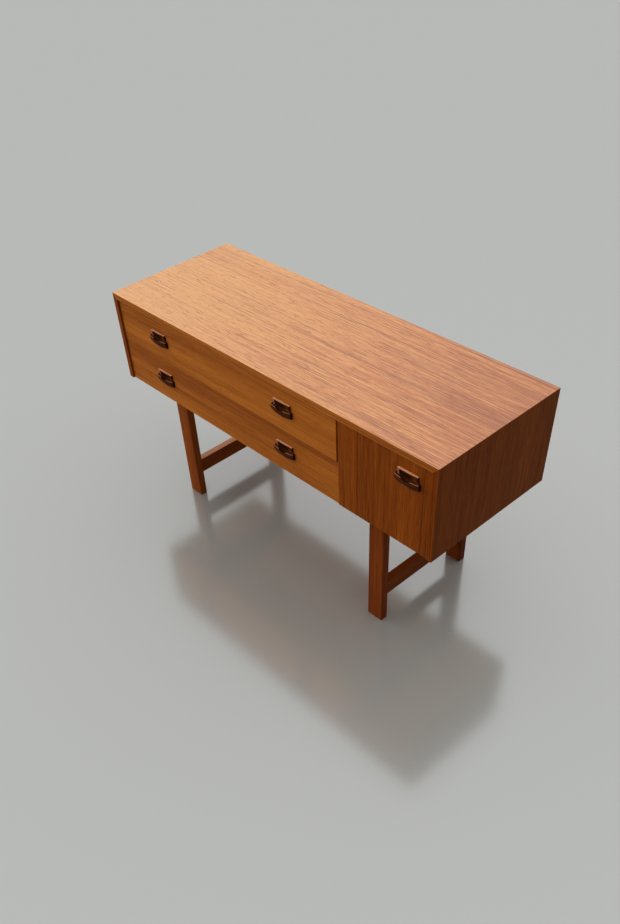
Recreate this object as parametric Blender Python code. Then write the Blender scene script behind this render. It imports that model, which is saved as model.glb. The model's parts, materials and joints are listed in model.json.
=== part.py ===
"""Low teak cabinet: a mitred case on two leg frames, with two drawers that slide on
hung runners and one side-hung door on knife hinges. Metres, +Z up, front towards -Y.
The origin lies on the floor under the middle of the case."""
import math

import bmesh
import bpy
from mathutils import Vector

# Clearances
JOINT_GAP = 0.0003
OVERRUN = 0.002

# Case
CASE_WIDTH = 1.2
CASE_DEPTH = 0.42
CASE_HEIGHT = 0.262
BOARD = 0.0165
HOUSING_DEPTH = 0.005
BACK_THICKNESS = 0.005
BACK_REBATE = 0.008

# Leg frames
LEG_HEIGHT = 0.355
POST_WIDTH = 0.0506
POST_DEPTH = 0.0233
POST_END_INSET = 0.1773
POST_SETBACK = 0.0345
POST_EASE = 0.0015
RAIL_THICKNESS = 0.0228
RAIL_HEIGHT = 0.047
RAIL_EASE = 0.001
STRETCHER_CLEARANCE = 0.069
TENON_THICKNESS = 0.009
TENON_LENGTH = 0.015
TENON_SHOULDER = 0.006
RAIL_SCREW_LENGTH = 0.034
RAIL_SCREW_BITE = 0.011
RAIL_SCREW_INSET = 0.07
COUNTERBORE_RADIUS = 0.005

# Fronts
FRONT_THICKNESS = 0.018
FRONT_EASE = 0.0007
DRAWER_RECESS = 0.0053
DOOR_RECESS = 0.0027
SIDE_REVEAL = 0.001
TOP_REVEAL = 0.001
BOTTOM_REVEAL = 0.0005
DRAWER_LINE = 0.1384
LINE_GAP = 0.0016
DOOR_EDGE = 0.898
UPPER_END_GAP = 0.0078
LOWER_END_GAP = 0.0016
PARTITION_LAP = 0.002

# Drawer boxes
BOX_CLEARANCE = 0.0012
BOX_SIDE = 0.012
BOX_LENGTH = 0.36
UPPER_BOX_HEIGHT = 0.1
LOWER_BOX_HEIGHT = 0.09
BOX_HEADROOM = 0.009
BOX_BACK = 0.01
BOX_BACK_DROP = 0.008
BOX_TAIL = 0.014
BOTTOM_PLY = 0.004
BOTTOM_RISE = 0.007
PLY_GROOVE = 0.005
DOVETAIL_LENGTH = 0.009
DOVETAIL_ROOT = 0.0065
DOVETAIL_TIP = 0.0085
DOVETAIL_WALL = 0.0035

# Runners
RUNNER_HEIGHT = 0.01
RUNNER_HOUSING = 0.003
RUNNER_GROOVE = 0.006
RUNNER_PLAY = 0.0008
RUNNER_UNDERPLAY = 0.0007
RUNNER_SETBACK = 0.052
RUNNER_REAR_GAP = 0.012

# Door and its knife hinges
DOOR_CHAMFER = 0.005
PIVOT_INSET = 0.012
PIVOT_DEPTH = 0.006
PIN_RADIUS = 0.002
PIN_PLAY = 0.0003
LEAF_THICKNESS = 0.0024
LEAF_WIDTH = 0.008
LEAF_LENGTH = 0.05
PIN_REACH = 0.007
PLATE_WIDTH = 0.008
PLATE_TAIL = 0.045
HINGE_ARC_STEPS = 8
CATCH_WIDTH = 0.014
CATCH_DEPTH = 0.03
CATCH_HEIGHT = 0.04
CATCH_DROP = 0.06
STRIKE_THICKNESS = 0.0012
STRIKE_MARGIN = 0.002

# Carved pulls
LEDGE_WIDTH = 0.06
LEDGE_REACH = 0.005
LEDGE_HEIGHT = 0.0095
PLATE_REACH = 0.003
PLATE_HEIGHT = 0.034
HOLLOW_WIDTH = 0.048
HOLLOW_TOP = 0.003
HOLLOW_FOOT = 0.0155
HOLLOW_CORNER = 0.004
HOLLOW_FLOOR = 0.0022
PULL_HEIGHT = 0.04
LIP_WIDTH = 0.072
LIP_DROP = 0.017
LIP_END_REACH = 0.0085
LIP_MIDDLE_REACH = 0.013
LIP_END_HEIGHT = 0.018
LIP_DIP = 0.005
DIP_SHARE = 0.5
LIP_STATIONS = 20
LIP_ARC_STEPS = 6
COVE_STEPS = 4
MOUTH_HALF_WIDTH = 0.017
MOUTH_HALF_DEPTH = 0.0051
MOUTH_HALF_HEIGHT = 0.009
MOUTH_FLOOR = 0.0014
MOUTH_SEGMENTS = 24
MOUTH_RINGS = 14
PULL_FROM_LEFT = 0.199
PULL_SPACING = 0.506
UPPER_PULL_DROP = 0.052
LOWER_PULL_DROP = 0.1725
DOOR_PULL_FROM_RIGHT = 0.0825
DOOR_PULL_DROP = 0.047
PULL_SCREW_SPACING = 0.055
PULL_SCREW_DROP = 0.0265
PULL_SCREW_BITE = 0.0065

# Screws
SCREW_RADIUS = 0.0018
HEAD_RADIUS = 0.0036
HEAD_HEIGHT = 0.0022
TIP_LENGTH = 0.003
TIP_RADIUS = 0.0006
BACK_SCREW_LENGTH = 0.02
SCREW_FACETS = 12
PIN_FACETS = 20

# Finish: linear base colours, roughness values and the angle that stays sharp
TEAK_VENEER_COLOUR = (0.33, 0.14, 0.05)
TEAK_VENEER_ROUGHNESS = 0.42
SOLID_TEAK_COLOUR = (0.24, 0.09, 0.04)
SOLID_TEAK_ROUGHNESS = 0.45
CARVED_TEAK_COLOUR = (0.16, 0.065, 0.03)
CARVED_TEAK_ROUGHNESS = 0.38
BEECH_COLOUR = (0.55, 0.38, 0.22)
BEECH_ROUGHNESS = 0.6
PLYWOOD_COLOUR = (0.5, 0.36, 0.22)
PLYWOOD_ROUGHNESS = 0.65
BRASS_COLOUR = (0.6, 0.45, 0.2)
STEEL_COLOUR = (0.5, 0.5, 0.5)
METAL_ROUGHNESS = 0.35
CATCH_COLOUR = (0.12, 0.07, 0.04)
CATCH_ROUGHNESS = 0.5
SHARP_DEGREES = 30

# Places that follow from the sizes
LEFT = -CASE_WIDTH / 2
RIGHT = CASE_WIDTH / 2
FRONT = -CASE_DEPTH / 2
REAR = CASE_DEPTH / 2
CASE_BOTTOM = LEG_HEIGHT
CASE_TOP = LEG_HEIGHT + CASE_HEIGHT
INNER_LEFT = LEFT + BOARD
INNER_RIGHT = RIGHT - BOARD
INNER_TOP = CASE_TOP - BOARD
INNER_BOTTOM = CASE_BOTTOM + BOARD
BACK_FACE = REAR - BACK_THICKNESS
DRAWER_FACE = FRONT + DRAWER_RECESS
DRAWER_FRONT_BACK = DRAWER_FACE + FRONT_THICKNESS
INNER_FRONT = DRAWER_FRONT_BACK + JOINT_GAP
DOOR_FACE = FRONT + DOOR_RECESS
DOOR_BACK = DOOR_FACE + FRONT_THICKNESS
DOOR_LEFT = LEFT + DOOR_EDGE
DOOR_RIGHT = INNER_RIGHT - SIDE_REVEAL
PARTITION_RIGHT = DOOR_LEFT - PARTITION_LAP
PARTITION_LEFT = PARTITION_RIGHT - BOARD
FRONTS_TOP = INNER_TOP - TOP_REVEAL
FRONTS_BOTTOM = CASE_BOTTOM + BOTTOM_REVEAL
LINE_Z = CASE_TOP - DRAWER_LINE
BOX_LEFT = INNER_LEFT + BOX_CLEARANCE
BOX_RIGHT = PARTITION_LEFT - BOX_CLEARANCE
BOX_REAR = DRAWER_FRONT_BACK + BOX_LENGTH
RUNNER_FRONT = FRONT + RUNNER_SETBACK
RUNNER_REAR = BACK_FACE - RUNNER_REAR_GAP
RUNNER_REACH = BOX_CLEARANCE + RUNNER_GROOVE - RUNNER_PLAY
PIVOT_X = DOOR_LEFT + PIVOT_INSET
PIVOT_Y = DOOR_FACE + PIVOT_DEPTH
LIP_MIDDLE_HEIGHT = PULL_HEIGHT - LIP_DROP
RAIL_TOP = CASE_BOTTOM - JOINT_GAP


def paint(name, colour, roughness, metallic=0):
    """Principled material with a base colour, a roughness and a metallic value"""
    material = bpy.data.materials.new(name)
    material.use_nodes = True
    shader = material.node_tree.nodes["Principled BSDF"]
    shader.inputs["Base Color"].default_value = (*colour, 1)
    shader.inputs["Roughness"].default_value = roughness
    shader.inputs["Metallic"].default_value = metallic
    return material


def make_object(name, shape, centre=(0, 0, 0)):
    """Object from a bmesh given in world places, with its origin at the centre"""
    bmesh.ops.translate(shape, verts=shape.verts, vec=-Vector(centre))
    bmesh.ops.recalc_face_normals(shape, faces=shape.faces)
    mesh = bpy.data.meshes.new(name)
    shape.to_mesh(mesh)
    shape.free()
    piece = bpy.data.objects.new(name, mesh)
    piece.location = centre
    bpy.context.scene.collection.objects.link(piece)
    return piece


def box(name, low, high):
    """Square-cut board between two corners"""
    low, high = Vector(low), Vector(high)
    shape = bmesh.new()
    bmesh.ops.create_cube(shape, size=1)
    size = high - low
    bmesh.ops.scale(shape, verts=shape.verts, vec=size)
    bmesh.ops.translate(shape, verts=shape.verts, vec=(low + high) / 2)
    return make_object(name, shape, (low + high) / 2)


def extrusion(name, outline, axis, start, end):
    """Solid with a flat outline, drawn out along X, Y or Z"""
    places = {
        "X": lambda a, b, along: (along, a, b),
        "Y": lambda a, b, along: (a, along, b),
        "Z": lambda a, b, along: (a, b, along),
    }
    shape = bmesh.new()
    first = [shape.verts.new(places[axis](a, b, start)) for a, b in outline]
    last = [shape.verts.new(places[axis](a, b, end)) for a, b in outline]
    shape.faces.new(first)
    shape.faces.new(list(reversed(last)))
    for index in range(len(outline)):
        after = (index + 1) % len(outline)
        shape.faces.new((first[index], last[index], last[after], first[after]))
    corners = [vertex.co for vertex in shape.verts]
    low = Vector(min(corner[i] for corner in corners) for i in range(3))
    high = Vector(max(corner[i] for corner in corners) for i in range(3))
    return make_object(name, shape, (low + high) / 2)


def turned(name, profile, centre, direction, facets):
    """Turned piece: (radius, distance along the axis) pairs, closed at both ends"""
    shape = bmesh.new()
    rings = []
    for radius, along in profile:
        ring = []
        for index in range(facets):
            angle = 2 * math.pi * index / facets
            ring.append(shape.verts.new((radius * math.cos(angle), radius * math.sin(angle), along)))
        rings.append(ring)
    for lower, upper in zip(rings, rings[1:]):
        for index in range(facets):
            after = (index + 1) % facets
            shape.faces.new((lower[index], lower[after], upper[after], upper[index]))
    shape.faces.new(list(reversed(rings[0])))
    shape.faces.new(rings[-1])
    turn = Vector((0, 0, 1)).rotation_difference(Vector(direction)).to_matrix()
    bmesh.ops.rotate(shape, verts=shape.verts, cent=(0, 0, 0), matrix=turn)
    bmesh.ops.translate(shape, verts=shape.verts, vec=centre)
    return make_object(name, shape, Vector(centre))


def combine(piece, tools, operation="DIFFERENCE"):
    """Cut the tools from the piece, or join them to it, and remove them"""
    for tool in tools:
        modifier = piece.modifiers.new(tool.name, "BOOLEAN")
        modifier.operation = operation
        modifier.solver = "EXACT"
        modifier.object = tool
    graph = bpy.context.evaluated_depsgraph_get()
    mesh = bpy.data.meshes.new_from_object(piece.evaluated_get(graph))
    mesh.name = piece.name
    piece.modifiers.clear()
    piece.data = mesh
    for tool in tools:
        bpy.data.objects.remove(tool)
    return piece


def ease(piece, width, chosen=lambda middle: True):
    """Small chamfer on the edges whose middle point, in the piece's own frame, is chosen"""
    shape = bmesh.new()
    shape.from_mesh(piece.data)
    edges = [edge for edge in shape.edges if chosen((edge.verts[0].co + edge.verts[1].co) / 2)]
    bmesh.ops.bevel(shape, geom=edges, offset=width, segments=1, profile=0.5, affect="EDGES")
    shape.to_mesh(piece.data)
    shape.free()
    return piece


def grown(low, high, margin):
    """The two corners of a box that is larger by a margin on every side"""
    push = Vector((margin, margin, margin))
    return Vector(low) - push, Vector(high) + push


def housing(low, high):
    """Cutter for a piece that is let in: its box with the joint gap round it"""
    return box("housing", *grown(low, high, JOINT_GAP))


def round_cutter(centre, direction, radius, length):
    """Cutter for a round hole from a centre point along a direction"""
    return turned("drill", [(radius, 0), (radius, length)], centre, direction, SCREW_FACETS)


def finish(pieces, material, parent=None):
    """Give the pieces their material, smooth their round faces and hang them on a parent"""
    for piece in pieces:
        piece.data.materials.clear()
        piece.data.materials.append(material)
        piece.data.shade_smooth()
        piece.data.set_sharp_from_angle(angle=math.radians(SHARP_DEGREES))
        if parent is not None:
            piece.parent = parent
            piece.location -= parent.location


def pivot_empty(name, place):
    """Empty that carries the pieces of one moving body"""
    empty = bpy.data.objects.new(name, None)
    empty.location = place
    bpy.context.scene.collection.objects.link(empty)
    return empty


def screw(name, head_centre, direction, length):
    """Countersunk wood screw: head centre on the surface, driven along a direction"""
    profile = [
        (HEAD_RADIUS, 0),
        (SCREW_RADIUS, HEAD_HEIGHT),
        (SCREW_RADIUS, length - TIP_LENGTH),
        (TIP_RADIUS, length),
    ]
    return turned(name, profile, head_centre, direction, SCREW_FACETS)


def screw_cutter(head_centre, direction, length):
    """Countersunk hole with the joint gap round the screw and an open mouth"""
    unit = Vector(direction)
    start = Vector(head_centre) - unit * OVERRUN
    sink = HEAD_RADIUS + 2 * JOINT_GAP
    profile = [
        (sink, 0),
        (sink, OVERRUN),
        (SCREW_RADIUS + JOINT_GAP, OVERRUN + HEAD_HEIGHT + JOINT_GAP),
        (SCREW_RADIUS + JOINT_GAP, OVERRUN + length + JOINT_GAP),
    ]
    return turned("countersink", profile, start, unit, SCREW_FACETS)


def bottom_board_box():
    """Corners of the case bottom without its end tongues"""
    low = Vector((INNER_LEFT + JOINT_GAP, INNER_FRONT, CASE_BOTTOM))
    high = Vector((INNER_RIGHT - JOINT_GAP, BACK_FACE - JOINT_GAP, INNER_BOTTOM))
    return low, high


def tongue_box():
    """Corners of the full-length tongue that the sides hold, upper half of the bottom board"""
    low, high = bottom_board_box()
    low.x = INNER_LEFT - HOUSING_DEPTH
    high.x = INNER_RIGHT + HOUSING_DEPTH
    low.z = CASE_BOTTOM + BOARD / 2
    return low, high


def partition_box():
    """Corners of the partition, let into the top and the bottom"""
    low = Vector((PARTITION_LEFT, INNER_FRONT, INNER_BOTTOM - HOUSING_DEPTH))
    high = Vector((PARTITION_RIGHT, BACK_FACE - JOINT_GAP, INNER_TOP + HOUSING_DEPTH))
    return low, high


def back_rebate():
    """Cutter for the rebate that holds the back panel in the top and the sides"""
    low = (INNER_LEFT - BACK_REBATE, BACK_FACE - JOINT_GAP, CASE_BOTTOM - OVERRUN)
    high = (INNER_RIGHT + BACK_REBATE, REAR + OVERRUN, INNER_TOP + BACK_REBATE)
    return box("rebate", low, high)


def box_levels():
    """Bottom height and height of each drawer box"""
    upper = INNER_TOP - BOX_HEADROOM - UPPER_BOX_HEIGHT
    lower = LINE_Z - BOX_HEADROOM - LOWER_BOX_HEIGHT
    return {"upper": (upper, UPPER_BOX_HEIGHT), "lower": (lower, LOWER_BOX_HEIGHT)}


def runner_box(side, level):
    """Corners of the runner on one side of one drawer, halfway up the drawer box"""
    base, height = box_levels()[level]
    middle = base + height / 2
    bottom = middle - RUNNER_HEIGHT / 2
    top = middle + RUNNER_HEIGHT / 2
    if side == "left":
        x0 = INNER_LEFT - RUNNER_HOUSING
        x1 = INNER_LEFT + RUNNER_REACH
    else:
        x0 = PARTITION_LEFT - RUNNER_REACH
        x1 = PARTITION_LEFT + RUNNER_HOUSING
    return Vector((x0, RUNNER_FRONT, bottom)), Vector((x1, RUNNER_REAR, top))


def rail_screw_places(middle_x):
    """Head centres of the two screws that hold one top rail to the case bottom"""
    seat = CASE_BOTTOM + RAIL_SCREW_BITE - RAIL_SCREW_LENGTH
    reach = -FRONT - RAIL_SCREW_INSET
    return [(middle_x, -reach, seat), (middle_x, reach, seat)]


def frame_middles():
    """Middle of each leg frame along the cabinet"""
    inset = POST_END_INSET + POST_WIDTH / 2
    return {"left": LEFT + inset, "right": RIGHT - inset}


def pivot_leaf_box(z0, z1):
    """Corners of a knife hinge leaf that lies along the door, round the pivot"""
    half = LEAF_WIDTH / 2
    low = (PIVOT_X - half, PIVOT_Y - half, z0)
    high = (PIVOT_X - half + LEAF_LENGTH, PIVOT_Y + half, z1)
    return low, high


def back_screw_places():
    """Two screws into the partition's rear edge and two into the bottom's rear edge"""
    middle_x = (PARTITION_LEFT + PARTITION_RIGHT) / 2
    inner_height = INNER_TOP - INNER_BOTTOM
    frames = frame_middles()
    return [
        (middle_x, REAR, INNER_BOTTOM + inner_height / 4),
        (middle_x, REAR, INNER_TOP - inner_height / 4),
        (frames["left"], REAR, CASE_BOTTOM + BOARD / 2),
        (frames["right"], REAR, CASE_BOTTOM + BOARD / 2),
    ]


def case_pieces(materials):
    """Top and sides joined by mitres, bottom and partition in housings, rebated back"""
    slant = JOINT_GAP / math.sqrt(2)
    top = extrusion(
        "case_top",
        [
            (LEFT + slant, CASE_TOP),
            (RIGHT - slant, CASE_TOP),
            (INNER_RIGHT - slant, INNER_TOP),
            (INNER_LEFT + slant, INNER_TOP),
        ],
        "Y", FRONT, REAR,
    )
    sides = {}
    for name, outer, inner in (("left_side", LEFT, INNER_LEFT), ("right_side", RIGHT, INNER_RIGHT)):
        outline = [
            (outer, CASE_BOTTOM),
            (outer, CASE_TOP - slant),
            (inner, INNER_TOP - slant),
            (inner, CASE_BOTTOM),
        ]
        sides[name] = extrusion(name, outline, "Y", FRONT, REAR)
    bottom = combine(box("case_bottom", *bottom_board_box()), [box("tongue", *tongue_box())], "UNION")
    partition = box("partition", *partition_box())

    leaf_low, leaf_high = pivot_leaf_box(INNER_TOP, INNER_TOP + LEAF_THICKNESS)
    leaf_low = (leaf_low[0], leaf_low[1], leaf_low[2] - OVERRUN)
    combine(top, [back_rebate(), housing(*partition_box()), housing(leaf_low, leaf_high)])
    for side in sides.values():
        combine(side, [back_rebate(), housing(*tongue_box())])
    for level in ("upper", "lower"):
        combine(sides["left_side"], [housing(*runner_box("left", level))])
        combine(partition, [housing(*runner_box("right", level))])
    holes = [housing(*partition_box())]
    for middle in frame_middles().values():
        for place in rail_screw_places(middle):
            holes.append(screw_cutter(place, (0, 0, 1), RAIL_SCREW_LENGTH))
    combine(bottom, holes)

    back = box(
        "back_panel",
        (INNER_LEFT - BACK_REBATE + JOINT_GAP, BACK_FACE, CASE_BOTTOM),
        (INNER_RIGHT + BACK_REBATE - JOINT_GAP, REAR, INNER_TOP + BACK_REBATE - JOINT_GAP),
    )
    screws = []
    for index, place in enumerate(back_screw_places()):
        name = "back_screw_" + str(index + 1)
        screws.append(screw(name, place, (0, -1, 0), BACK_SCREW_LENGTH))
        target = partition if index < 2 else bottom
        combine(target, [screw_cutter(place, (0, -1, 0), BACK_SCREW_LENGTH)])
        combine(back, [screw_cutter(place, (0, -1, 0), BACK_SCREW_LENGTH)])
    finish([top, *sides.values(), bottom, partition], materials["veneer"])
    finish([back], materials["ply"])
    finish(screws, materials["steel"])


def runners(wood):
    """Four hardwood runners, glued into shallow housings in the left side and the partition"""
    pieces = []
    for level in ("upper", "lower"):
        for side in ("left", "right"):
            pieces.append(box(level + "_" + side + "_runner", *runner_box(side, level)))
    finish(pieces, wood)


def side_outline(outer, inner):
    """Plan of a drawer side with its bare-faced dovetail tongue at the front end"""
    inward = 1 if inner > outer else -1
    shoulder = DRAWER_FRONT_BACK + JOINT_GAP
    tip = DRAWER_FRONT_BACK - DOVETAIL_LENGTH
    straight = outer + inward * DOVETAIL_WALL
    return [
        (outer, BOX_REAR),
        (outer, shoulder),
        (straight, shoulder),
        (straight, tip),
        (straight + inward * DOVETAIL_TIP, tip),
        (straight + inward * DOVETAIL_ROOT, shoulder),
        (inner, shoulder),
        (inner, BOX_REAR),
    ]


def dovetail_cutter(outer, inner, z0, z1):
    """Groove in the back of the drawer front that the tongue slides up into"""
    inward = 1 if inner > outer else -1
    straight = outer + inward * (DOVETAIL_WALL - JOINT_GAP)
    root = DOVETAIL_ROOT + 2 * JOINT_GAP
    tip = DOVETAIL_TIP + 2 * JOINT_GAP
    flare = (tip - root) / DOVETAIL_LENGTH
    outline = [
        (straight, DRAWER_FRONT_BACK + OVERRUN),
        (straight, DRAWER_FRONT_BACK - DOVETAIL_LENGTH - JOINT_GAP),
        (straight + inward * (tip + flare * JOINT_GAP), DRAWER_FRONT_BACK - DOVETAIL_LENGTH - JOINT_GAP),
        (straight + inward * (root - flare * OVERRUN), DRAWER_FRONT_BACK + OVERRUN),
    ]
    return extrusion("dovetail", outline, "Z", z0, z1)


def drawer(level, right_end, z0, z1, pull_drop, materials):
    """One drawer: front, two grooved sides, back and plywood bottom, on its own empty"""
    base, height = box_levels()[level]
    name = level + "_drawer"
    carrier = pivot_empty(name + "_slide", ((BOX_LEFT + BOX_RIGHT) / 2, DRAWER_FACE, base + height / 2))
    front = box(
        name + "_front",
        (INNER_LEFT + SIDE_REVEAL, DRAWER_FACE, z0),
        (right_end, DRAWER_FRONT_BACK, z1),
    )
    ease(front, FRONT_EASE, lambda middle: middle.y < 0 and abs(middle.y) > FRONT_THICKNESS / 4)

    ply_bottom = base + BOTTOM_RISE
    ply_top = ply_bottom + BOTTOM_PLY
    ply_low = Vector((BOX_LEFT + BOX_SIDE - PLY_GROOVE, DRAWER_FRONT_BACK - PLY_GROOVE, ply_bottom))
    ply_high = Vector((BOX_RIGHT - BOX_SIDE + PLY_GROOVE, BOX_REAR, ply_top))
    back_rear = BOX_REAR - BOX_TAIL
    back_low = Vector((BOX_LEFT + BOX_SIDE - PLY_GROOVE, back_rear - BOX_BACK, ply_top + JOINT_GAP))
    back_high = Vector((BOX_RIGHT - BOX_SIDE + PLY_GROOVE, back_rear, base + height - BOX_BACK_DROP))

    sides = []
    ends = (("left", BOX_LEFT, BOX_LEFT + BOX_SIDE), ("right", BOX_RIGHT, BOX_RIGHT - BOX_SIDE))
    for side, outer, inner in ends:
        board = extrusion(name + "_" + side + "_side", side_outline(outer, inner), "Z", base, base + height)
        runner_low, runner_high = runner_box(side, level)
        groove_x = outer + RUNNER_GROOVE if side == "left" else outer - RUNNER_GROOVE
        open_x = outer - OVERRUN if side == "left" else outer + OVERRUN
        groove = box(
            "groove",
            (min(open_x, groove_x), RUNNER_FRONT - JOINT_GAP, runner_low.z - RUNNER_UNDERPLAY),
            (max(open_x, groove_x), BOX_REAR + OVERRUN, runner_high.z + JOINT_GAP),
        )
        slot_low, slot_high = grown(ply_low, ply_high, JOINT_GAP)
        slot_low.y = DRAWER_FRONT_BACK - DOVETAIL_LENGTH - OVERRUN
        slot_high.y = BOX_REAR + OVERRUN
        combine(board, [groove, box("slot", slot_low, slot_high), housing(back_low, back_high)])
        combine(front, [dovetail_cutter(outer, inner, z0 - OVERRUN, base + height + JOINT_GAP)])
        sides.append(board)
    slot_low, slot_high = grown(ply_low, ply_high, JOINT_GAP)
    slot_high.y = DRAWER_FRONT_BACK + OVERRUN
    combine(front, [box("slot", slot_low, slot_high)])

    back = box(name + "_back", back_low, back_high)
    ply = box(name + "_bottom", ply_low, ply_high)

    screws = []
    for side, offset in (("left", 0), ("right", PULL_SPACING)):
        place = (LEFT + PULL_FROM_LEFT + offset, DRAWER_FACE - JOINT_GAP, CASE_TOP - pull_drop)
        finish([pull("pull_" + level + "_" + side, place)], materials["carved"], carrier)
        screws += pull_screws("pull_" + level + "_" + side, place, front, DRAWER_FRONT_BACK)
    finish([front], materials["veneer"], carrier)
    finish([*sides, back], materials["beech"], carrier)
    finish([ply], materials["ply"], carrier)
    finish(screws, materials["steel"], carrier)


def pull_screws(name, place, front, back_y):
    """Two screws from behind a front into a pull, and their holes in the front"""
    screws = []
    length = back_y - place[1] + PULL_SCREW_BITE
    for index, side in enumerate((-1, 1)):
        head = (place[0] + side * PULL_SCREW_SPACING / 2, back_y, place[2] - PULL_SCREW_DROP)
        screws.append(screw(name + "_screw_" + str(index + 1), head, (0, -1, 0), length))
        combine(front, [screw_cutter(head, (0, -1, 0), length)])
    return screws


def ledge_outline():
    """Side view of the pull's back plate and upper ledge, with a cove under the ledge"""
    cove = LEDGE_REACH - PLATE_REACH
    points = [(0, 0), (-LEDGE_REACH, 0)]
    for step in range(COVE_STEPS + 1):
        angle = math.pi / 2 * step / COVE_STEPS
        points.append((-LEDGE_REACH + cove * math.sin(angle), -LEDGE_HEIGHT - cove * (1 - math.cos(angle))))
    points += [(-PLATE_REACH, -PLATE_HEIGHT), (0, -PLATE_HEIGHT)]
    return points


def hollow_outline():
    """Front view of the hollow under the ledge, its upper corners rounded"""
    corner_x = HOLLOW_WIDTH / 2 - HOLLOW_CORNER
    points = [(HOLLOW_WIDTH / 2, -HOLLOW_FOOT)]
    for centre, first in ((corner_x, 0), (-corner_x, math.pi / 2)):
        for step in range(COVE_STEPS + 1):
            angle = first + math.pi / 2 * step / COVE_STEPS
            x = centre + HOLLOW_CORNER * math.cos(angle)
            points.append((x, HOLLOW_CORNER * (math.sin(angle) - 1) - HOLLOW_TOP))
    points.append((-HOLLOW_WIDTH / 2, -HOLLOW_FOOT))
    return points


def lip_section(share):
    """Side view of the lip at a share of its half width: dipped top, rounded front"""
    crown = 1 - share ** 2
    reach = LIP_END_REACH + (LIP_MIDDLE_REACH - LIP_END_REACH) * crown
    height = LIP_END_HEIGHT + (LIP_MIDDLE_HEIGHT - LIP_END_HEIGHT) * crown
    dip = 0
    if abs(share) < DIP_SHARE:
        dip = LIP_DIP * math.cos(math.pi / 2 * share / DIP_SHARE) ** 2
    points = [(0, -LIP_DROP)]
    for step in range(LIP_ARC_STEPS + 1):
        angle = math.pi / 2 * step / LIP_ARC_STEPS
        out = PLATE_REACH + (reach - PLATE_REACH) * math.cos(angle)
        points.append((-out, -LIP_DROP - dip - (height - dip) * math.sin(angle)))
    points.append((0, -LIP_DROP - height))
    return points


def lip():
    """Boat-shaped lip, lofted through its side views along X"""
    shape = bmesh.new()
    rings = []
    for station in range(LIP_STATIONS + 1):
        share = 2 * station / LIP_STATIONS - 1
        x = share * LIP_WIDTH / 2
        rings.append([shape.verts.new((x, y, z)) for y, z in lip_section(share)])
    count = len(rings[0])
    for near, far in zip(rings, rings[1:]):
        for index in range(count):
            after = (index + 1) % count
            shape.faces.new((near[index], near[after], far[after], far[index]))
    shape.faces.new(rings[0])
    shape.faces.new(list(reversed(rings[-1])))
    return make_object("lip", shape)


def pull_shape():
    """Carved pull in its own frame: hollowed ledge and plate, lip, and the scooped finger mouth"""
    body = extrusion("pull", ledge_outline(), "X", -LEDGE_WIDTH / 2, LEDGE_WIDTH / 2)
    combine(body, [extrusion("hollow", hollow_outline(), "Y", -LEDGE_REACH - OVERRUN, -HOLLOW_FLOOR)])
    combine(body, [lip()], "UNION")
    shape = bmesh.new()
    bmesh.ops.create_uvsphere(shape, u_segments=MOUTH_SEGMENTS, v_segments=MOUTH_RINGS, radius=1)
    bmesh.ops.scale(shape, verts=shape.verts, vec=(MOUTH_HALF_WIDTH, MOUTH_HALF_DEPTH, MOUTH_HALF_HEIGHT))
    bmesh.ops.translate(shape, verts=shape.verts, vec=(0, -MOUTH_FLOOR - MOUTH_HALF_DEPTH, -LIP_DROP))
    combine(body, [make_object("mouth", shape)])
    back = (PULL_SCREW_SPACING / 2, 0, -PULL_SCREW_DROP)
    for side in (-1, 1):
        start = (side * back[0], OVERRUN, back[2])
        length = OVERRUN + PULL_SCREW_BITE + JOINT_GAP
        combine(body, [round_cutter(start, (0, -1, 0), SCREW_RADIUS + JOINT_GAP, length)])
    shape = bmesh.new()
    shape.from_mesh(body.data)
    bmesh.ops.translate(shape, verts=shape.verts, vec=body.location)
    bpy.data.objects.remove(body)
    mesh = bpy.data.meshes.new("carved_pull")
    shape.to_mesh(mesh)
    shape.free()
    return mesh


def pull(name, place):
    """One carved pull, its top back edge centred on a place; all five share one mesh"""
    mesh = bpy.data.meshes.get("carved_pull") or pull_shape()
    piece = bpy.data.objects.new(name, mesh)
    piece.location = place
    bpy.context.scene.collection.objects.link(piece)
    return piece


def leaf_outline(length):
    """Plan of a hinge leaf round the pivot: half-round at the pin, square at the far end"""
    radius = LEAF_WIDTH / 2
    points = []
    for step in range(HINGE_ARC_STEPS + 1):
        angle = math.pi / 2 + math.pi * step / HINGE_ARC_STEPS
        points.append((PIVOT_X + radius * math.cos(angle), PIVOT_Y + radius * math.sin(angle)))
    points.append((PIVOT_X - radius + length, PIVOT_Y - radius))
    points.append((PIVOT_X - radius + length, PIVOT_Y + radius))
    return points


def plate_outline():
    """Plan of the lower pivot plate: rounded tongue under the door, tail under the case"""
    radius = PLATE_WIDTH / 2
    points = []
    for step in range(HINGE_ARC_STEPS + 1):
        angle = math.pi + math.pi * step / HINGE_ARC_STEPS
        points.append((PIVOT_X + radius * math.cos(angle), PIVOT_Y + radius * math.sin(angle)))
    points.append((PIVOT_X + radius, INNER_FRONT + PLATE_TAIL))
    points.append((PIVOT_X - radius, INNER_FRONT + PLATE_TAIL))
    return points


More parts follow.
